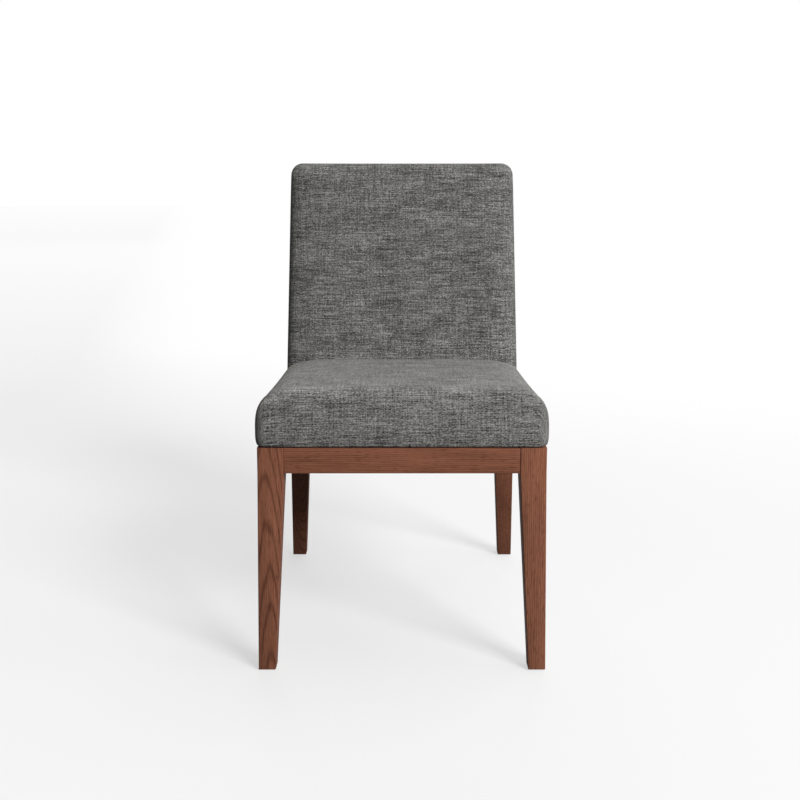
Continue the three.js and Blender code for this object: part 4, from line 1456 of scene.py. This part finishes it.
    def shaped(self, points: np.ndarray, wall_top: float) -> np.ndarray:
        """Gives the upright form its heights, its drawn-in lower edge and its lean.

        Args:
            points: the upright form's points.
            wall_top: the height where its walls end.

        Returns:
            The seat's points.
        """
        points = points.copy()
        share = self.rearward(points)
        rise = self.top_height(points) - self.rear_height - self.side_fall(points)
        stiff = self.low.z + self.stiff_height
        points[:, 2] += rise * np.clip((points[:, 2] - stiff) / (wall_top - stiff), 0, 1)
        inset = 0
        for reach, height in ((self.lower_reach, self.lower_height), (self.tuck_reach, self.tuck_height)):
            low = np.clip((self.low.z + height - points[:, 2]) / height, 0, 1)
            inset += reach * (1 - np.sqrt(1 - low**2))
        points[:, 0] *= 1 - inset / self.high.x
        points[:, 1] += inset * (1 - share)
        points[:, 1] += (points[:, 2] - self.low.z) * self.slope * share
        return points

    def cover(self, form: Piece) -> Piece:
        """Turns the form into the cover: a skin that is open under the board.

        Args:
            form: the closed form.

        Returns:
            The cover.
        """
        rename(form, "seat_cushion_cover")
        finish_modifier(form, "SUBSURF", levels=1, render_levels=1)
        self.map_weave(form)
        inner_x = self.high.x - self.hem
        inner_front, inner_rear = self.low.y + self.hem, self.rear_bottom - self.hem
        with editing(form):
            remove_faces(
                lambda m, normal: normal.z < -ALONG
                and abs(m.x) < inner_x
                and inner_front < m.y < inner_rear
                and m.z < self.low.z + self.underside
            )
        thicken(form, self.cover_thickness)
        return form

    def map_weave(self, cover: Piece) -> None:
        """Lays the cloth over the top and down the front and the sides, without a seam."""
        points = self.upright(points_of(cover))
        side_fall = self.side_fall(points)
        wall = np.clip(self.top_height(points) - side_fall - points[:, 2], 0, None)
        aside = np.clip(np.abs(points[:, 0]) - (self.high.x - self.corner_radius), 0, None)
        ahead = np.clip(self.low.y + self.corner_radius - points[:, 1], 0, None)
        turn = np.arctan2(aside, ahead) / (math.pi / 2)
        # Towards the front the threads straighten out, so that they run level over its face
        straight = np.clip(1 - (points[:, 1] - self.low.y) / self.straightening, 0, 1)
        wall += straight * side_fall
        along = points[:, 0] + np.sign(points[:, 0]) * (side_fall * (1 - straight) + wall * turn)
        across = points[:, 1] - wall * (1 - turn)
        write_weave_map(cover, np.stack((along, across), axis=1))

    def foam(self, form: Piece) -> Piece:
        """Models the foam from the form: drawn in under the cover and flat on the board.

        Args:
            form: the closed form.

        Returns:
            The foam.
        """
        foam = drawn_in(form, "seat_cushion_foam", self.cover_thickness + FOAM_GAP)
        with editing(foam):
            cut_level(self.board_top + SEATING_GAP)
        shade(foam, SOFT_EDGE_DEG)
        return foam

    def dust_size(self) -> tuple[float, float]:
        """Width and length of the dust cloth as cut."""
        return tuple((self.dust_high - self.dust_low).xy)

    def dust_area(self, size: tuple[float, float]) -> float:
        """Area of the dust cloth, whose corners are cut off."""
        corner = self.dust_corner()
        return size[0] * size[1] - 2 * corner * corner

    def dust_corner(self) -> float:
        """How much of each corner of the dust cloth is cut off, along its edges."""
        points = known_points("dust_cover")
        return self.dust_high.x - float(points[points[:, 1] < self.dust_low.y + NEAR, 0].max())

    def dust_cloth(self) -> Piece:
        """Models the dust cloth: a thin sheet with folded edges that sags a little.

        Returns:
            The dust cloth.
        """
        low, high = self.dust_low, self.dust_high
        thickness = high.z - low.z
        middle = (low + high) / 2
        cloth = add_plane("dust_cover_cloth", self.dust_size(), (middle.x, middle.y, high.z))
        corner = self.dust_corner()
        with editing(cloth):
            for way_x in (-1, 1):
                for way_y in (-1, 1):
                    edge_x = high.x if way_x > 0 else low.x
                    edge_y = high.y if way_y > 0 else low.y
                    select_everything()
                    bpy.ops.mesh.bisect(
                        plane_co=(edge_x - way_x * corner, edge_y, high.z),
                        plane_no=(way_x, way_y, 0),
                        clear_outer=True,
                    )
            select_everything()
            bpy.ops.mesh.inset(thickness=self.dust_fold)
            slice_evenly(0, low.x, high.x, self.dust_slice)
            slice_evenly(1, low.y, high.y, self.dust_slice)
        points = points_of(cloth)
        half_x, half_y = (high.x - low.x) / 2 - self.dust_fold, (high.y - low.y) / 2 - self.dust_fold
        across = np.clip(np.abs(points[:, 0] - middle.x) / half_x, 0, 1)
        along = np.clip(np.abs(points[:, 1] - middle.y) / half_y, 0, 1)
        diagonal = (half_x * (1 - across) + half_y * (1 - along)) / corner
        free = np.clip(1 - across**2, 0, 1) * np.clip(1 - along**2, 0, 1) * np.clip(diagonal - 1, 0, 1)
        points[:, 2] -= self.dust_sag * free + thickness / 2 * (free > 0)
        set_points(cloth, points)
        finish_modifier(cloth, "SOLIDIFY", thickness=thickness / 2, offset=-1)
        face_outwards(cloth)
        shade(cloth, THIN_EDGE_DEG)
        return cloth

    def staples(self) -> Piece:
        """Models the staples along the dust cloth's edge, as one piece.

        Returns:
            The staples.
        """
        low, high = self.dust_low, self.dust_high
        corner = self.dust_corner()
        inset = self.dust_fold / 2
        outline = [
            Vector((low.x + corner, low.y + inset, 0)),
            Vector((high.x - corner, low.y + inset, 0)),
            Vector((high.x - inset, low.y + corner, 0)),
            Vector((high.x - inset, high.y - corner, 0)),
            Vector((high.x - corner, high.y - inset, 0)),
            Vector((low.x + corner, high.y - inset, 0)),
            Vector((low.x + inset, high.y - corner, 0)),
            Vector((low.x + inset, low.y + corner, 0)),
        ]
        pattern = self.staple()
        copies = []
        for start, end in zip(outline, outline[1:] + outline[:1]):
            side = end - start
            count = max(2, round(side.length / self.staple_spacing))
            for k in range(count):
                place = start + side * (k + 0.5) / count
                # Hand-driven staples lean a little to one side and the other
                turn = math.atan2(side.y, side.x) + math.radians(self.staple_turns_deg[k % 2])
                spot = Matrix.Translation((place.x, place.y, low.z + self.staple_sink))
                copies.append(placed_copy(pattern, "staple", spot @ Matrix.Rotation(turn, 4, "Z")))
        bpy.data.objects.remove(pattern)
        activate(copies[0])
        for copy in copies:
            copy.select_set(True)
        bpy.ops.object.join()
        staples = bpy.context.object
        rename(staples, "dust_cover_staples")
        shade(staples, METAL_EDGE_DEG)
        return staples

    def staple(self) -> Piece:
        """Models one staple's crown, with the start of its legs.

        Returns:
            The staple, along X with its middle at the origin.
        """
        half, wire = self.staple_length / 2, self.staple_wire
        staple = add_box("staple pattern", (-half, -wire / 2, -wire), (half, wire / 2, 0))
        with editing(staple):
            slice_at(0, (0, wire - half, half - wire))
            select(Pick.FACE, lambda m, normal: normal.z > ALONG and abs(m.x) > half - wire)
            extrude((0, 0, wire * self.staple_leg))
            select(Pick.EDGE, lambda m, way: m.z < -wire + NEAR / 10 and abs(way.x) > ALONG)
            round_edges(wire * self.staple_round, 2)
        return staple


@dataclass
class Back:
    """The back: its cover and foam over a frame of posts, rails and webbing, and its rear panel."""

    setback: float = 0.155695  # the front plane's place at the top of the base, in the frame
    base_height: float = 0.387
    lean_deg: float = 12.9
    length: float = 0.492
    half_width: float = 0.243
    taper: float = 0.0052
    thickness: float = 0.066
    crown: float = 0.004
    front_roll: float = 0.016  # how far the front's edges roll back
    front_reach: float = 0.034  # how far they roll in over the front
    rear_roll: float = 0.007
    corner_radius: float = 0.025
    rear_lip: float = 0.011
    seam_depth: float = 0.0016
    slim: float = -0.0008  # how much slimmer the form starts; less than 0, as the cloth draws in
    front_slim: float = 0.0024  # and how much flatter its front is
    cover_thickness: float = 0.0016
    strap_thickness: float = 0.0014
    strap_round: float = 0.7  # the rounding of its long edges, as a share of half its thickness
    strap_slice: float = 0.006
    strap_ease: float = 0.004  # how far each way its path is evened out
    slice_width: float = 0.011
    pad_round: float = 0.4  # the rounding of the wadding's rear edges, as a share of its thickness
    pad_slice: float = 0.02
    below: float = 0.03  # how far the form runs on below the base before it is cut level
    held_height: float = 0.004  # up to here above its lower edge the cloth is held while it swells
    underside: float = 0.002  # how high above its lowest point the form still counts as its underside
    rear_depth: float = 0.003  # how far from its rearmost place a point still counts as the rear's
    panel_shift: float = 0.9  # sets the panel's place on the cloth apart from the cover's

    def __post_init__(self) -> None:
        """Works out the back's own frame: y runs to its rear, and z up along the lean."""
        lean = math.radians(self.lean_deg)
        spot = Matrix.Translation((0, self.setback, self.base_height))
        self.place = spot @ Matrix.Rotation(-lean, 4, "X")
        self.cut_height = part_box("back_cover")[0].z

    def build(self) -> None:
        """Builds and dresses every piece of the back."""
        weave = MelangeWeave().material()
        form = self.form()
        points = points_of(form)
        at_rear = self.local(points)[:, 1] > self.thickness - self.rear_roll
        at_edge = points[:, 2] < self.cut_height + self.held_height
        Inflation().run(form, np.flatnonzero(at_edge | at_rear))
        foam = self.foam(form)
        panel = self.panel(form)
        cover = self.cover(form)
        dress(cover, weave, Slot.UPHOLSTERY, "back_cover")
        dress(foam, FoamStock().material(), Slot.FOAM, "back_foam")
        dress(panel, weave, Slot.UPHOLSTERY, "outside_back_panel")
        pad = self.dress_frame()

    def dress_frame(self) -> Piece:
        """Builds the rear wadding and the webbing, and dresses the rails.

        Returns:
            The wadding.
        """
        pad = self.rear_pad()
        dress(pad, POLYESTER_WADDING.material(), Slot.WADDING, "back_rear_pad")
        for index, node in enumerate(("back_top_rail", "back_bottom_rail")):
            board = Board(box_middle(node), Grain.ALONG_X, (60.0, 30.0), (0.6, 0.4), 1.7 + index)
            dress_node(node, PLANED_POPLAR.material(board))
        level = WovenElastic("woven elastic webbing, level", "Z").material()
        upright = WovenElastic("woven elastic webbing, upright", "X").material()
        for node in sorted(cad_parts):
            if node.startswith("back_strap"):
                dress(self.strap(node), level if "level" in node else upright, Slot.WEBBING, node)
        return pad

    def strap(self, node: str) -> Piece:
        """Models a strap of webbing, which lies on the wood and passes over and under those it crosses.

        Args:
            node: the strap, which gives the way that it takes.

        Returns:
            The strap.
        """
        known = self.local(known_points(node))
        low, high = known.min(axis=0), known.max(axis=0)
        length_axis = 0 if "level" in node else 2
        places = np.unique(known[:, length_axis].round(5))
        depths = [known[np.abs(known[:, length_axis] - place) < NEAR, 1].mean() for place in places]
        half = self.strap_thickness / 2
        strap = add_box(f"{node}_webbing", (low[0], -half, low[2]), (high[0], half, high[2]))
        with editing(strap):
            select(Pick.EDGE, lambda _m, way: abs(way[length_axis]) > ALONG)
            round_edges(half * self.strap_round, 2)
            slice_evenly(length_axis, low[length_axis], high[length_axis], self.strap_slice)
        points = points_of(strap)
        steps = (-self.strap_ease, 0, self.strap_ease)
        path = [np.interp(points[:, length_axis] + step, places, depths) for step in steps]
        points[:, 1] += np.mean(path, axis=0)
        set_points(strap, points)
        strap.data.transform(self.place)
        shade(strap, THIN_EDGE_DEG)
        return strap

    def local(self, points: np.ndarray) -> np.ndarray:
        """Places in the chair's frame, as the back's own frame has them."""
        inverse = np.array(self.place.inverted())
        return points @ inverse[:3, :3].T + inverse[:3, 3]

    def half_at(self, height: np.ndarray) -> np.ndarray:
        """Half the back's width at a height along the lean."""
        return self.half_width - self.taper * height / self.length

    def front_depth(self, local: np.ndarray) -> np.ndarray:
        """Depth of the crowned front at each point, without its rolled edges."""
        middle = self.length / 2
        up = np.clip((local[:, 2] - middle) / middle, 0, 1)
        across = np.clip(local[:, 0] / self.half_width, -1, 1)
        return self.crown * (1 - crown_share(across, up))

    def form(self) -> Piece:
        """Models the closed form of the back in its own frame, and then leans it.

        Returns:
            The form, as it is before it swells.
        """
        slim, flat = ((self.slim, self.front_slim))
        half, top = self.half_width - slim, self.length - 3 * slim
        front, rear = self.front_roll + flat, self.thickness - self.rear_roll
        form = add_box("back form", (-half, front, -self.below), (half, rear, top))
        with editing(form):
            select(Pick.EDGE, lambda m, way: abs(way.y) > ALONG and m.z > top - NEAR)
            round_edges(self.corner_radius, 7)
            size, base = (half, 1, top + self.below), (0, 0, -self.below)
            rolls = ((-1, self.front_roll, self.front_reach), (1, self.rear_roll, self.rear_roll))
            for way, roll, reach in rolls:
                select(Pick.FACE, lambda _m, normal: normal.y * way > ALONG)
                roll_face((0, way * roll, 0), (reach, 0, reach), size, base)
            self.sew_seam()
            slice_evenly(0, -half, half, self.slice_width)
            slice_evenly(2, -self.below, top, self.slice_width)
            slice_evenly(1, front, rear, self.slice_width)
        points = points_of(form)
        ahead = np.clip((rear - points[:, 1]) / (rear - flat), 0, 1)
        points[:, 1] += self.front_depth(points) * ahead
        points[:, 0] *= self.half_at(points[:, 2]) / self.half_width
        set_points(form, points)
        form.data.transform(self.place)
        with editing(form):
            cut_level(self.cut_height)
            select_everything()
            bpy.ops.mesh.remove_doubles(threshold=NEAR)
        return form

    def sew_seam(self) -> None:
        """Presses a groove into the rear face where the panel is sewn to the cover, in edit mode."""
        bpy.ops.mesh.inset(thickness=self.rear_lip - self.rear_roll - self.seam_depth / 2)
        for way in (-1, 1):
            bpy.ops.mesh.inset(thickness=self.seam_depth / 2)
            move((0, way * self.seam_depth, 0))

    def inside_panel(self, point: Vector) -> bool:
        """Whether a point lies within the seam round the rear panel, seen from behind."""
        local = self.place.inverted() @ point
        half = self.half_width - self.taper * local.z / self.length - self.rear_lip
        top = self.length - self.rear_lip
        radius = self.corner_radius - self.rear_lip
        over_x, over_z = abs(local.x) - (half - radius), local.z - (top - radius)
        if over_x > 0 and over_z > 0:
            return math.hypot(over_x, over_z) < radius
        return abs(local.x) < half and local.z < top

    def is_rear(self, point: Vector) -> bool:
        """Whether a point lies on the rear face."""
        return (self.place.inverted() @ point).y > self.thickness - self.rear_depth

    def cover(self, form: Piece) -> Piece:
        """Turns the form into the cover: a skin that is open at the rear and below.

        Args:
            form: the closed form.

        Returns:
            The cover.
        """
        rename(form, "back_cushion_cover")
        with editing(form):
            remove_faces(
                lambda m, normal: (self.is_rear(m) and self.inside_panel(m))
                or (normal.z < -ALONG and m.z < self.cut_height + self.underside)
            )
        finish_modifier(form, "SUBSURF", levels=1, render_levels=1)
        self.map_weave(form)
        thicken(form, self.cover_thickness)
        return form

    def map_weave(self, piece: Piece) -> None:
        """Lays the cloth over the front and round the sides and the top, without a seam."""
        local = self.local(points_of(piece))
        depth = np.clip(local[:, 1] - self.front_depth(local), 0, None)
        aside = np.clip(np.abs(local[:, 0]) - (self.half_at(local[:, 2]) - self.corner_radius), 0, None)
        above = np.clip(local[:, 2] - (self.length - self.corner_radius), 0, None)
        turn = np.arctan2(aside, above) / (math.pi / 2)
        along = local[:, 0] + np.sign(local[:, 0]) * depth * turn
        across = local[:, 2] + depth * (1 - turn)
        write_weave_map(piece, np.stack((along, across), axis=1))

    def panel(self, form: Piece) -> Piece:
        """Makes the rear panel from the part of the form inside the seam.

        Args:
            form: the closed form.

        Returns:
            The panel.
        """
        panel = copied(form, "outside_back_cloth")
        with editing(panel):
            remove_faces(lambda m, _normal: not (self.is_rear(m) and self.inside_panel(m)))
        finish_modifier(panel, "SUBSURF", levels=1, render_levels=1)
        local = self.local(points_of(panel))
        write_weave_map(panel, np.stack((-local[:, 0], local[:, 2]), axis=1) + self.panel_shift)
        thicken(panel, self.cover_thickness)
        return panel

    def foam(self, form: Piece) -> Piece:
        """Models the foam: the form drawn in under the cover, and hollowed for the frame.

        Args:
            form: the closed form.

        Returns:
            The foam.
        """
        webbing = self.local(known_points("back_strap_level_2"))
        post = self.local(known_points("rear_leg_right"))
        upper = post[post[:, 2] > self.length / 2]
        behind = Vector((0, upper[:, 1].max(), 0))
        foam = drawn_in(form, "back_cushion_foam", self.cover_thickness + FOAM_GAP)
        # The rear goes first: the seam in it crosses itself where it is drawn in
        with editing(foam):
            cut_off(self.place @ behind, self.place.to_3x3() @ Vector((0, 1, 0)))
        half, top = upper[:, 0].max() + self.taper + FOAM_GAP, post[:, 2].max() + FOAM_GAP
        first = Vector((-half, webbing[:, 1].min() - FOAM_GAP, -self.below * 2))
        hollow = add_box("hollow", first, Vector((half, self.thickness * 2, top)))
        hollow.data.transform(self.place)
        carve(foam, hollow)
        shade(foam, SOFT_EDGE_DEG)
        return foam

    def rear_pad(self) -> Piece:
        """Models the wadding between the frame and the rear panel: a thin slab with soft edges.

        Returns:
            The wadding.
        """
        local = self.local(known_points("back_rear_pad"))
        low, high = local.min(axis=0), local.max(axis=0)
        pad = add_box("back_rear_wadding", (low[0], low[1], -self.below), (high[0], high[1], high[2]))
        with editing(pad):
            select(Pick.EDGE, lambda m, way: abs(way.y) > ALONG and m.z > high[2] - NEAR)
            round_edges(self.corner_radius - self.rear_roll, 5)
            select(Pick.EDGE, lambda m, way: abs(way.y) < ACROSS and m.y > high[1] - NEAR)
            round_edges((high[1] - low[1]) * self.pad_round, 3)
            slice_evenly(0, low[0], high[0], self.pad_slice)
            slice_evenly(2, -self.below, high[2], self.pad_slice)
        points = points_of(pad)
        points[:, 0] *= self.half_at(points[:, 2]) / self.half_width
        set_points(pad, points)
        pad.data.transform(self.place)
        with editing(pad):
            cut_level(self.cut_height)
        shade(pad, SOFT_EDGE_DEG)
        return pad


@dataclass(frozen=True)
class Softbox:
    """A square lamp that faces the chair.

    Attributes:
        name: the lamp's name.
        azimuth_deg: where it stands, turned to the right from the camera's side.
        height_deg: how high it stands, as an angle above the chair.
        level: the light that it throws on the chair, where 1 shows a colour as it is written.
        distance: from the chair.
        size: the length of its side.
    """

    name: str
    azimuth_deg: float
    height_deg: float
    level: float
    distance: float = 16.0
    size: float = 6.0


SOFTBOXES = (
    Softbox("key softbox", 40.0, 29.0, 1.46, 11.0, 4.0),
    Softbox("top softbox", 100.0, 64.0, 0.65, 15.0, 14.0),
    Softbox("side softbox", 85.0, 25.0, 0.1),
    Softbox("rear softbox", 180.0, 28.0, 0.45, 15.0, 10.0),
)


@dataclass
class Studio:
    """A pale floor, a white surround, soft lamps and the photograph's camera."""

    floor_size: float = 120.0
    floor_colour: str = "#d0d0d0"
    floor_glow: float = 0.95  # brightness that the floor shows of itself to the camera
    glow_share: float = 0.62
    bounce_colour: str = "#505050"  # how the floor lights the chair
    fade_lean: float = 0.6  # how much sooner the floor fades to white on the right
    fade_start: float = 0.5  # how far behind the chair it begins to fade
    fade_end: float = 2.9
    far_start: float = 2.6  # how far off it begins to fade on every side
    left_shade_start: float = -0.19  # how far to the left a painted shade on the floor begins, as a share of the camera's distance
    left_shade_end: float = -0.43
    fill: float = 0.04  # light from all round, as a share of full light
    aim_height: float = 0.45

    def build(self) -> None:
        """Builds the floor, the surround, the lamps and the camera."""
        self.floor()
        self.surround()
        for lamp in SOFTBOXES:
            self.lamp(lamp)
        self.camera()

    def pale_rays(self, tree: bpy.types.NodeTree) -> Socket:
        """Whether a ray comes from the camera or from a glossy or clear surface.

        Args:
            tree: the node tree that asks.

        Returns:
            A value that is 0 or 1.
        """
        rays = add_node(tree, "ShaderNodeLightPath")
        total = rays.outputs["Is Camera Ray"]
        for name in ("Is Glossy Ray", "Is Transmission Ray"):
            inputs = {0: total, 1: rays.outputs[name]}
            total = add_node(tree, "ShaderNodeMath", inputs, operation="MAXIMUM").outputs[0]
        return total

    def floor(self) -> None:
        """Lays a pale floor that keeps the chair's shadow and fades to white behind it."""
        floor = add_plane("studio_floor", (self.floor_size, self.floor_size), (0, 0, 0))
        material = bpy.data.materials.new("pale studio floor")
        material.use_nodes = True
        tree = material.node_tree
        tree.nodes.clear()
        lit = add_node(tree, "ShaderNodeBsdfDiffuse", {"Color": to_linear(self.floor_colour)})
        glow = add_node(tree, "ShaderNodeEmission", {"Color": WHITE, "Strength": self.floor_glow})
        shares = {0: self.glow_share, 1: lit.outputs[0], 2: glow.outputs[0]}
        near = add_node(tree, "ShaderNodeMixShader", shares)
        fade = self.floor_fade(tree)
        far = add_node(tree, "ShaderNodeEmission", {"Color": WHITE, "Strength": 1.0})
        pale = add_node(tree, "ShaderNodeMixShader", {0: fade, 1: near.outputs[0], 2: far.outputs[0]})
        dim = add_node(tree, "ShaderNodeBsdfDiffuse", {"Color": to_linear(self.bounce_colour)})
        seen = {0: self.pale_rays(tree), 1: dim.outputs[0], 2: pale.outputs[0]}
        shown = add_node(tree, "ShaderNodeMixShader", seen)
        add_node(tree, "ShaderNodeOutputMaterial", {"Surface": shown.outputs[0]})
        floor.data.materials.append(material)

    def floor_fade(self, tree: bpy.types.NodeTree) -> Socket:
        """How far the floor has faded to white: soon behind the chair and later elsewhere. On its left,
        painted shade holds the fade back and keeps the floor grey there.

        Args:
            tree: the floor's node tree.

        Returns:
            A value from 0 to 1.
        """
        place = add_node(tree, "ShaderNodeTexCoord").outputs["Object"]
        parts = add_node(tree, "ShaderNodeSeparateXYZ", {0: place})
        around = add_node(tree, "ShaderNodeVectorMath", {0: place}, operation="LENGTH").outputs[1]
        soft = {"clamp": True, "interpolation_type": "SMOOTHSTEP"}
        leant = {0: parts.outputs[0], 1: self.fade_lean, 2: parts.outputs[1]}
        lean = add_node(tree, "ShaderNodeMath", leant, operation="MULTIPLY_ADD").outputs[0]
        ends = {"Value": lean, "From Min": self.fade_start, "From Max": self.fade_end}
        behind = add_node(tree, "ShaderNodeMapRange", ends, **soft).outputs[0]
        # Painted shade: a broad darker patch on the floor to the left of the chair, where the fade to white
        # is held back
        off = {0: parts.outputs[1], 1: CAMERA_DISTANCE}
        depth = add_node(tree, "ShaderNodeMath", off, operation="ADD").outputs[0]
        aside = {0: parts.outputs[0], 1: depth}
        slant = add_node(tree, "ShaderNodeMath", aside, operation="DIVIDE").outputs[0]
        ends = {"Value": slant, "From Min": self.left_shade_start, "From Max": self.left_shade_end}
        left_shade = add_node(tree, "ShaderNodeMapRange", ends, **soft).outputs[0]
        # This rises evenly in the picture, where the floor shrinks with its distance
        closeness = {0: self.far_start, 1: around}
        near_share = add_node(tree, "ShaderNodeMath", closeness, operation="DIVIDE").outputs[0]
        ends = {"Value": near_share, "From Min": 1.0, "From Max": 0.0}
        far = add_node(tree, "ShaderNodeMapRange", ends, clamp=True).outputs[0]
        clear = add_node(tree, "ShaderNodeMath", {0: 1.0, 1: left_shade}, operation="SUBTRACT").outputs[0]
        near = {0: behind, 1: clear}
        held_back = add_node(tree, "ShaderNodeMath", near, operation="MULTIPLY").outputs[0]
        return add_node(tree, "ShaderNodeMath", {0: held_back, 1: far}, operation="MAXIMUM").outputs[0]

    def surround(self) -> None:
        """Makes the world white where it is seen, and a dim even light where it only lights."""
        world = bpy.data.worlds.new("studio surround")
        bpy.context.scene.world = world
        world.use_nodes = True
        tree = world.node_tree
        tree.nodes.clear()
        seen = add_node(tree, "ShaderNodeBackground", {"Color": WHITE, "Strength": 1.0})
        light = add_node(tree, "ShaderNodeBackground", {"Color": WHITE, "Strength": self.fill})
        shares = {0: self.pale_rays(tree), 1: light.outputs[0], 2: seen.outputs[0]}
        mixed = add_node(tree, "ShaderNodeMixShader", shares)
        add_node(tree, "ShaderNodeOutputWorld", {"Surface": mixed.outputs[0]})

    def lamp(self, lamp: Softbox) -> None:
        """Hangs a softbox, facing the chair."""
        azimuth, height = math.radians(lamp.azimuth_deg), math.radians(lamp.height_deg)
        level_way = Vector((math.sin(azimuth), -math.cos(azimuth), 0)) * math.cos(height)
        way = level_way + Vector((0, 0, math.sin(height)))
        data = bpy.data.lights.new(lamp.name, "AREA")
        data.shape = "SQUARE"
        data.size = lamp.size
        data.energy = lamp.level * math.pi**2 * lamp.distance**2
        hung = bpy.data.objects.new(lamp.name, data)
        bpy.context.scene.collection.objects.link(hung)
        hung.location = Vector((0, 0, self.aim_height)) + way * lamp.distance
        hung.rotation_euler = (-way).to_track_quat("-Z", "Y").to_euler()

    def camera(self) -> None:
        """Sets up the photograph's camera."""
        data = bpy.data.cameras.new("photograph camera")
        data.sensor_width = SENSOR_MM
        data.lens = SENSOR_MM * FOCAL_PX / IMAGE_SIDE_PX
        centre_px = IMAGE_SIDE_PX / 2
        data.shift_x = (centre_px - MIDDLE_PX[0]) / IMAGE_SIDE_PX
        data.shift_y = (MIDDLE_PX[1] - centre_px) / IMAGE_SIDE_PX
        camera = bpy.data.objects.new("photograph camera", data)
        bpy.context.scene.collection.objects.link(camera)
        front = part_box("front_leg_right")[0].y
        camera.location = (0, front - CAMERA_DISTANCE, CAMERA_HEIGHT)
        camera.rotation_euler = (math.radians(90 - CAMERA_TILT_DEG), 0, 0)
        bpy.context.scene.camera = camera


def main() -> None:
    """Builds the chair and its studio."""
    logging.basicConfig(level=logging.INFO, format="%(name)s: %(message)s")
    bpy.context.scene.view_settings.view_transform = "Standard"
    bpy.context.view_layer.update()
    Studio().build()
    Base().build()
    Hardware().build()
    Seat().build()
    Back().build()


if __name__ == "__main__":
    main()
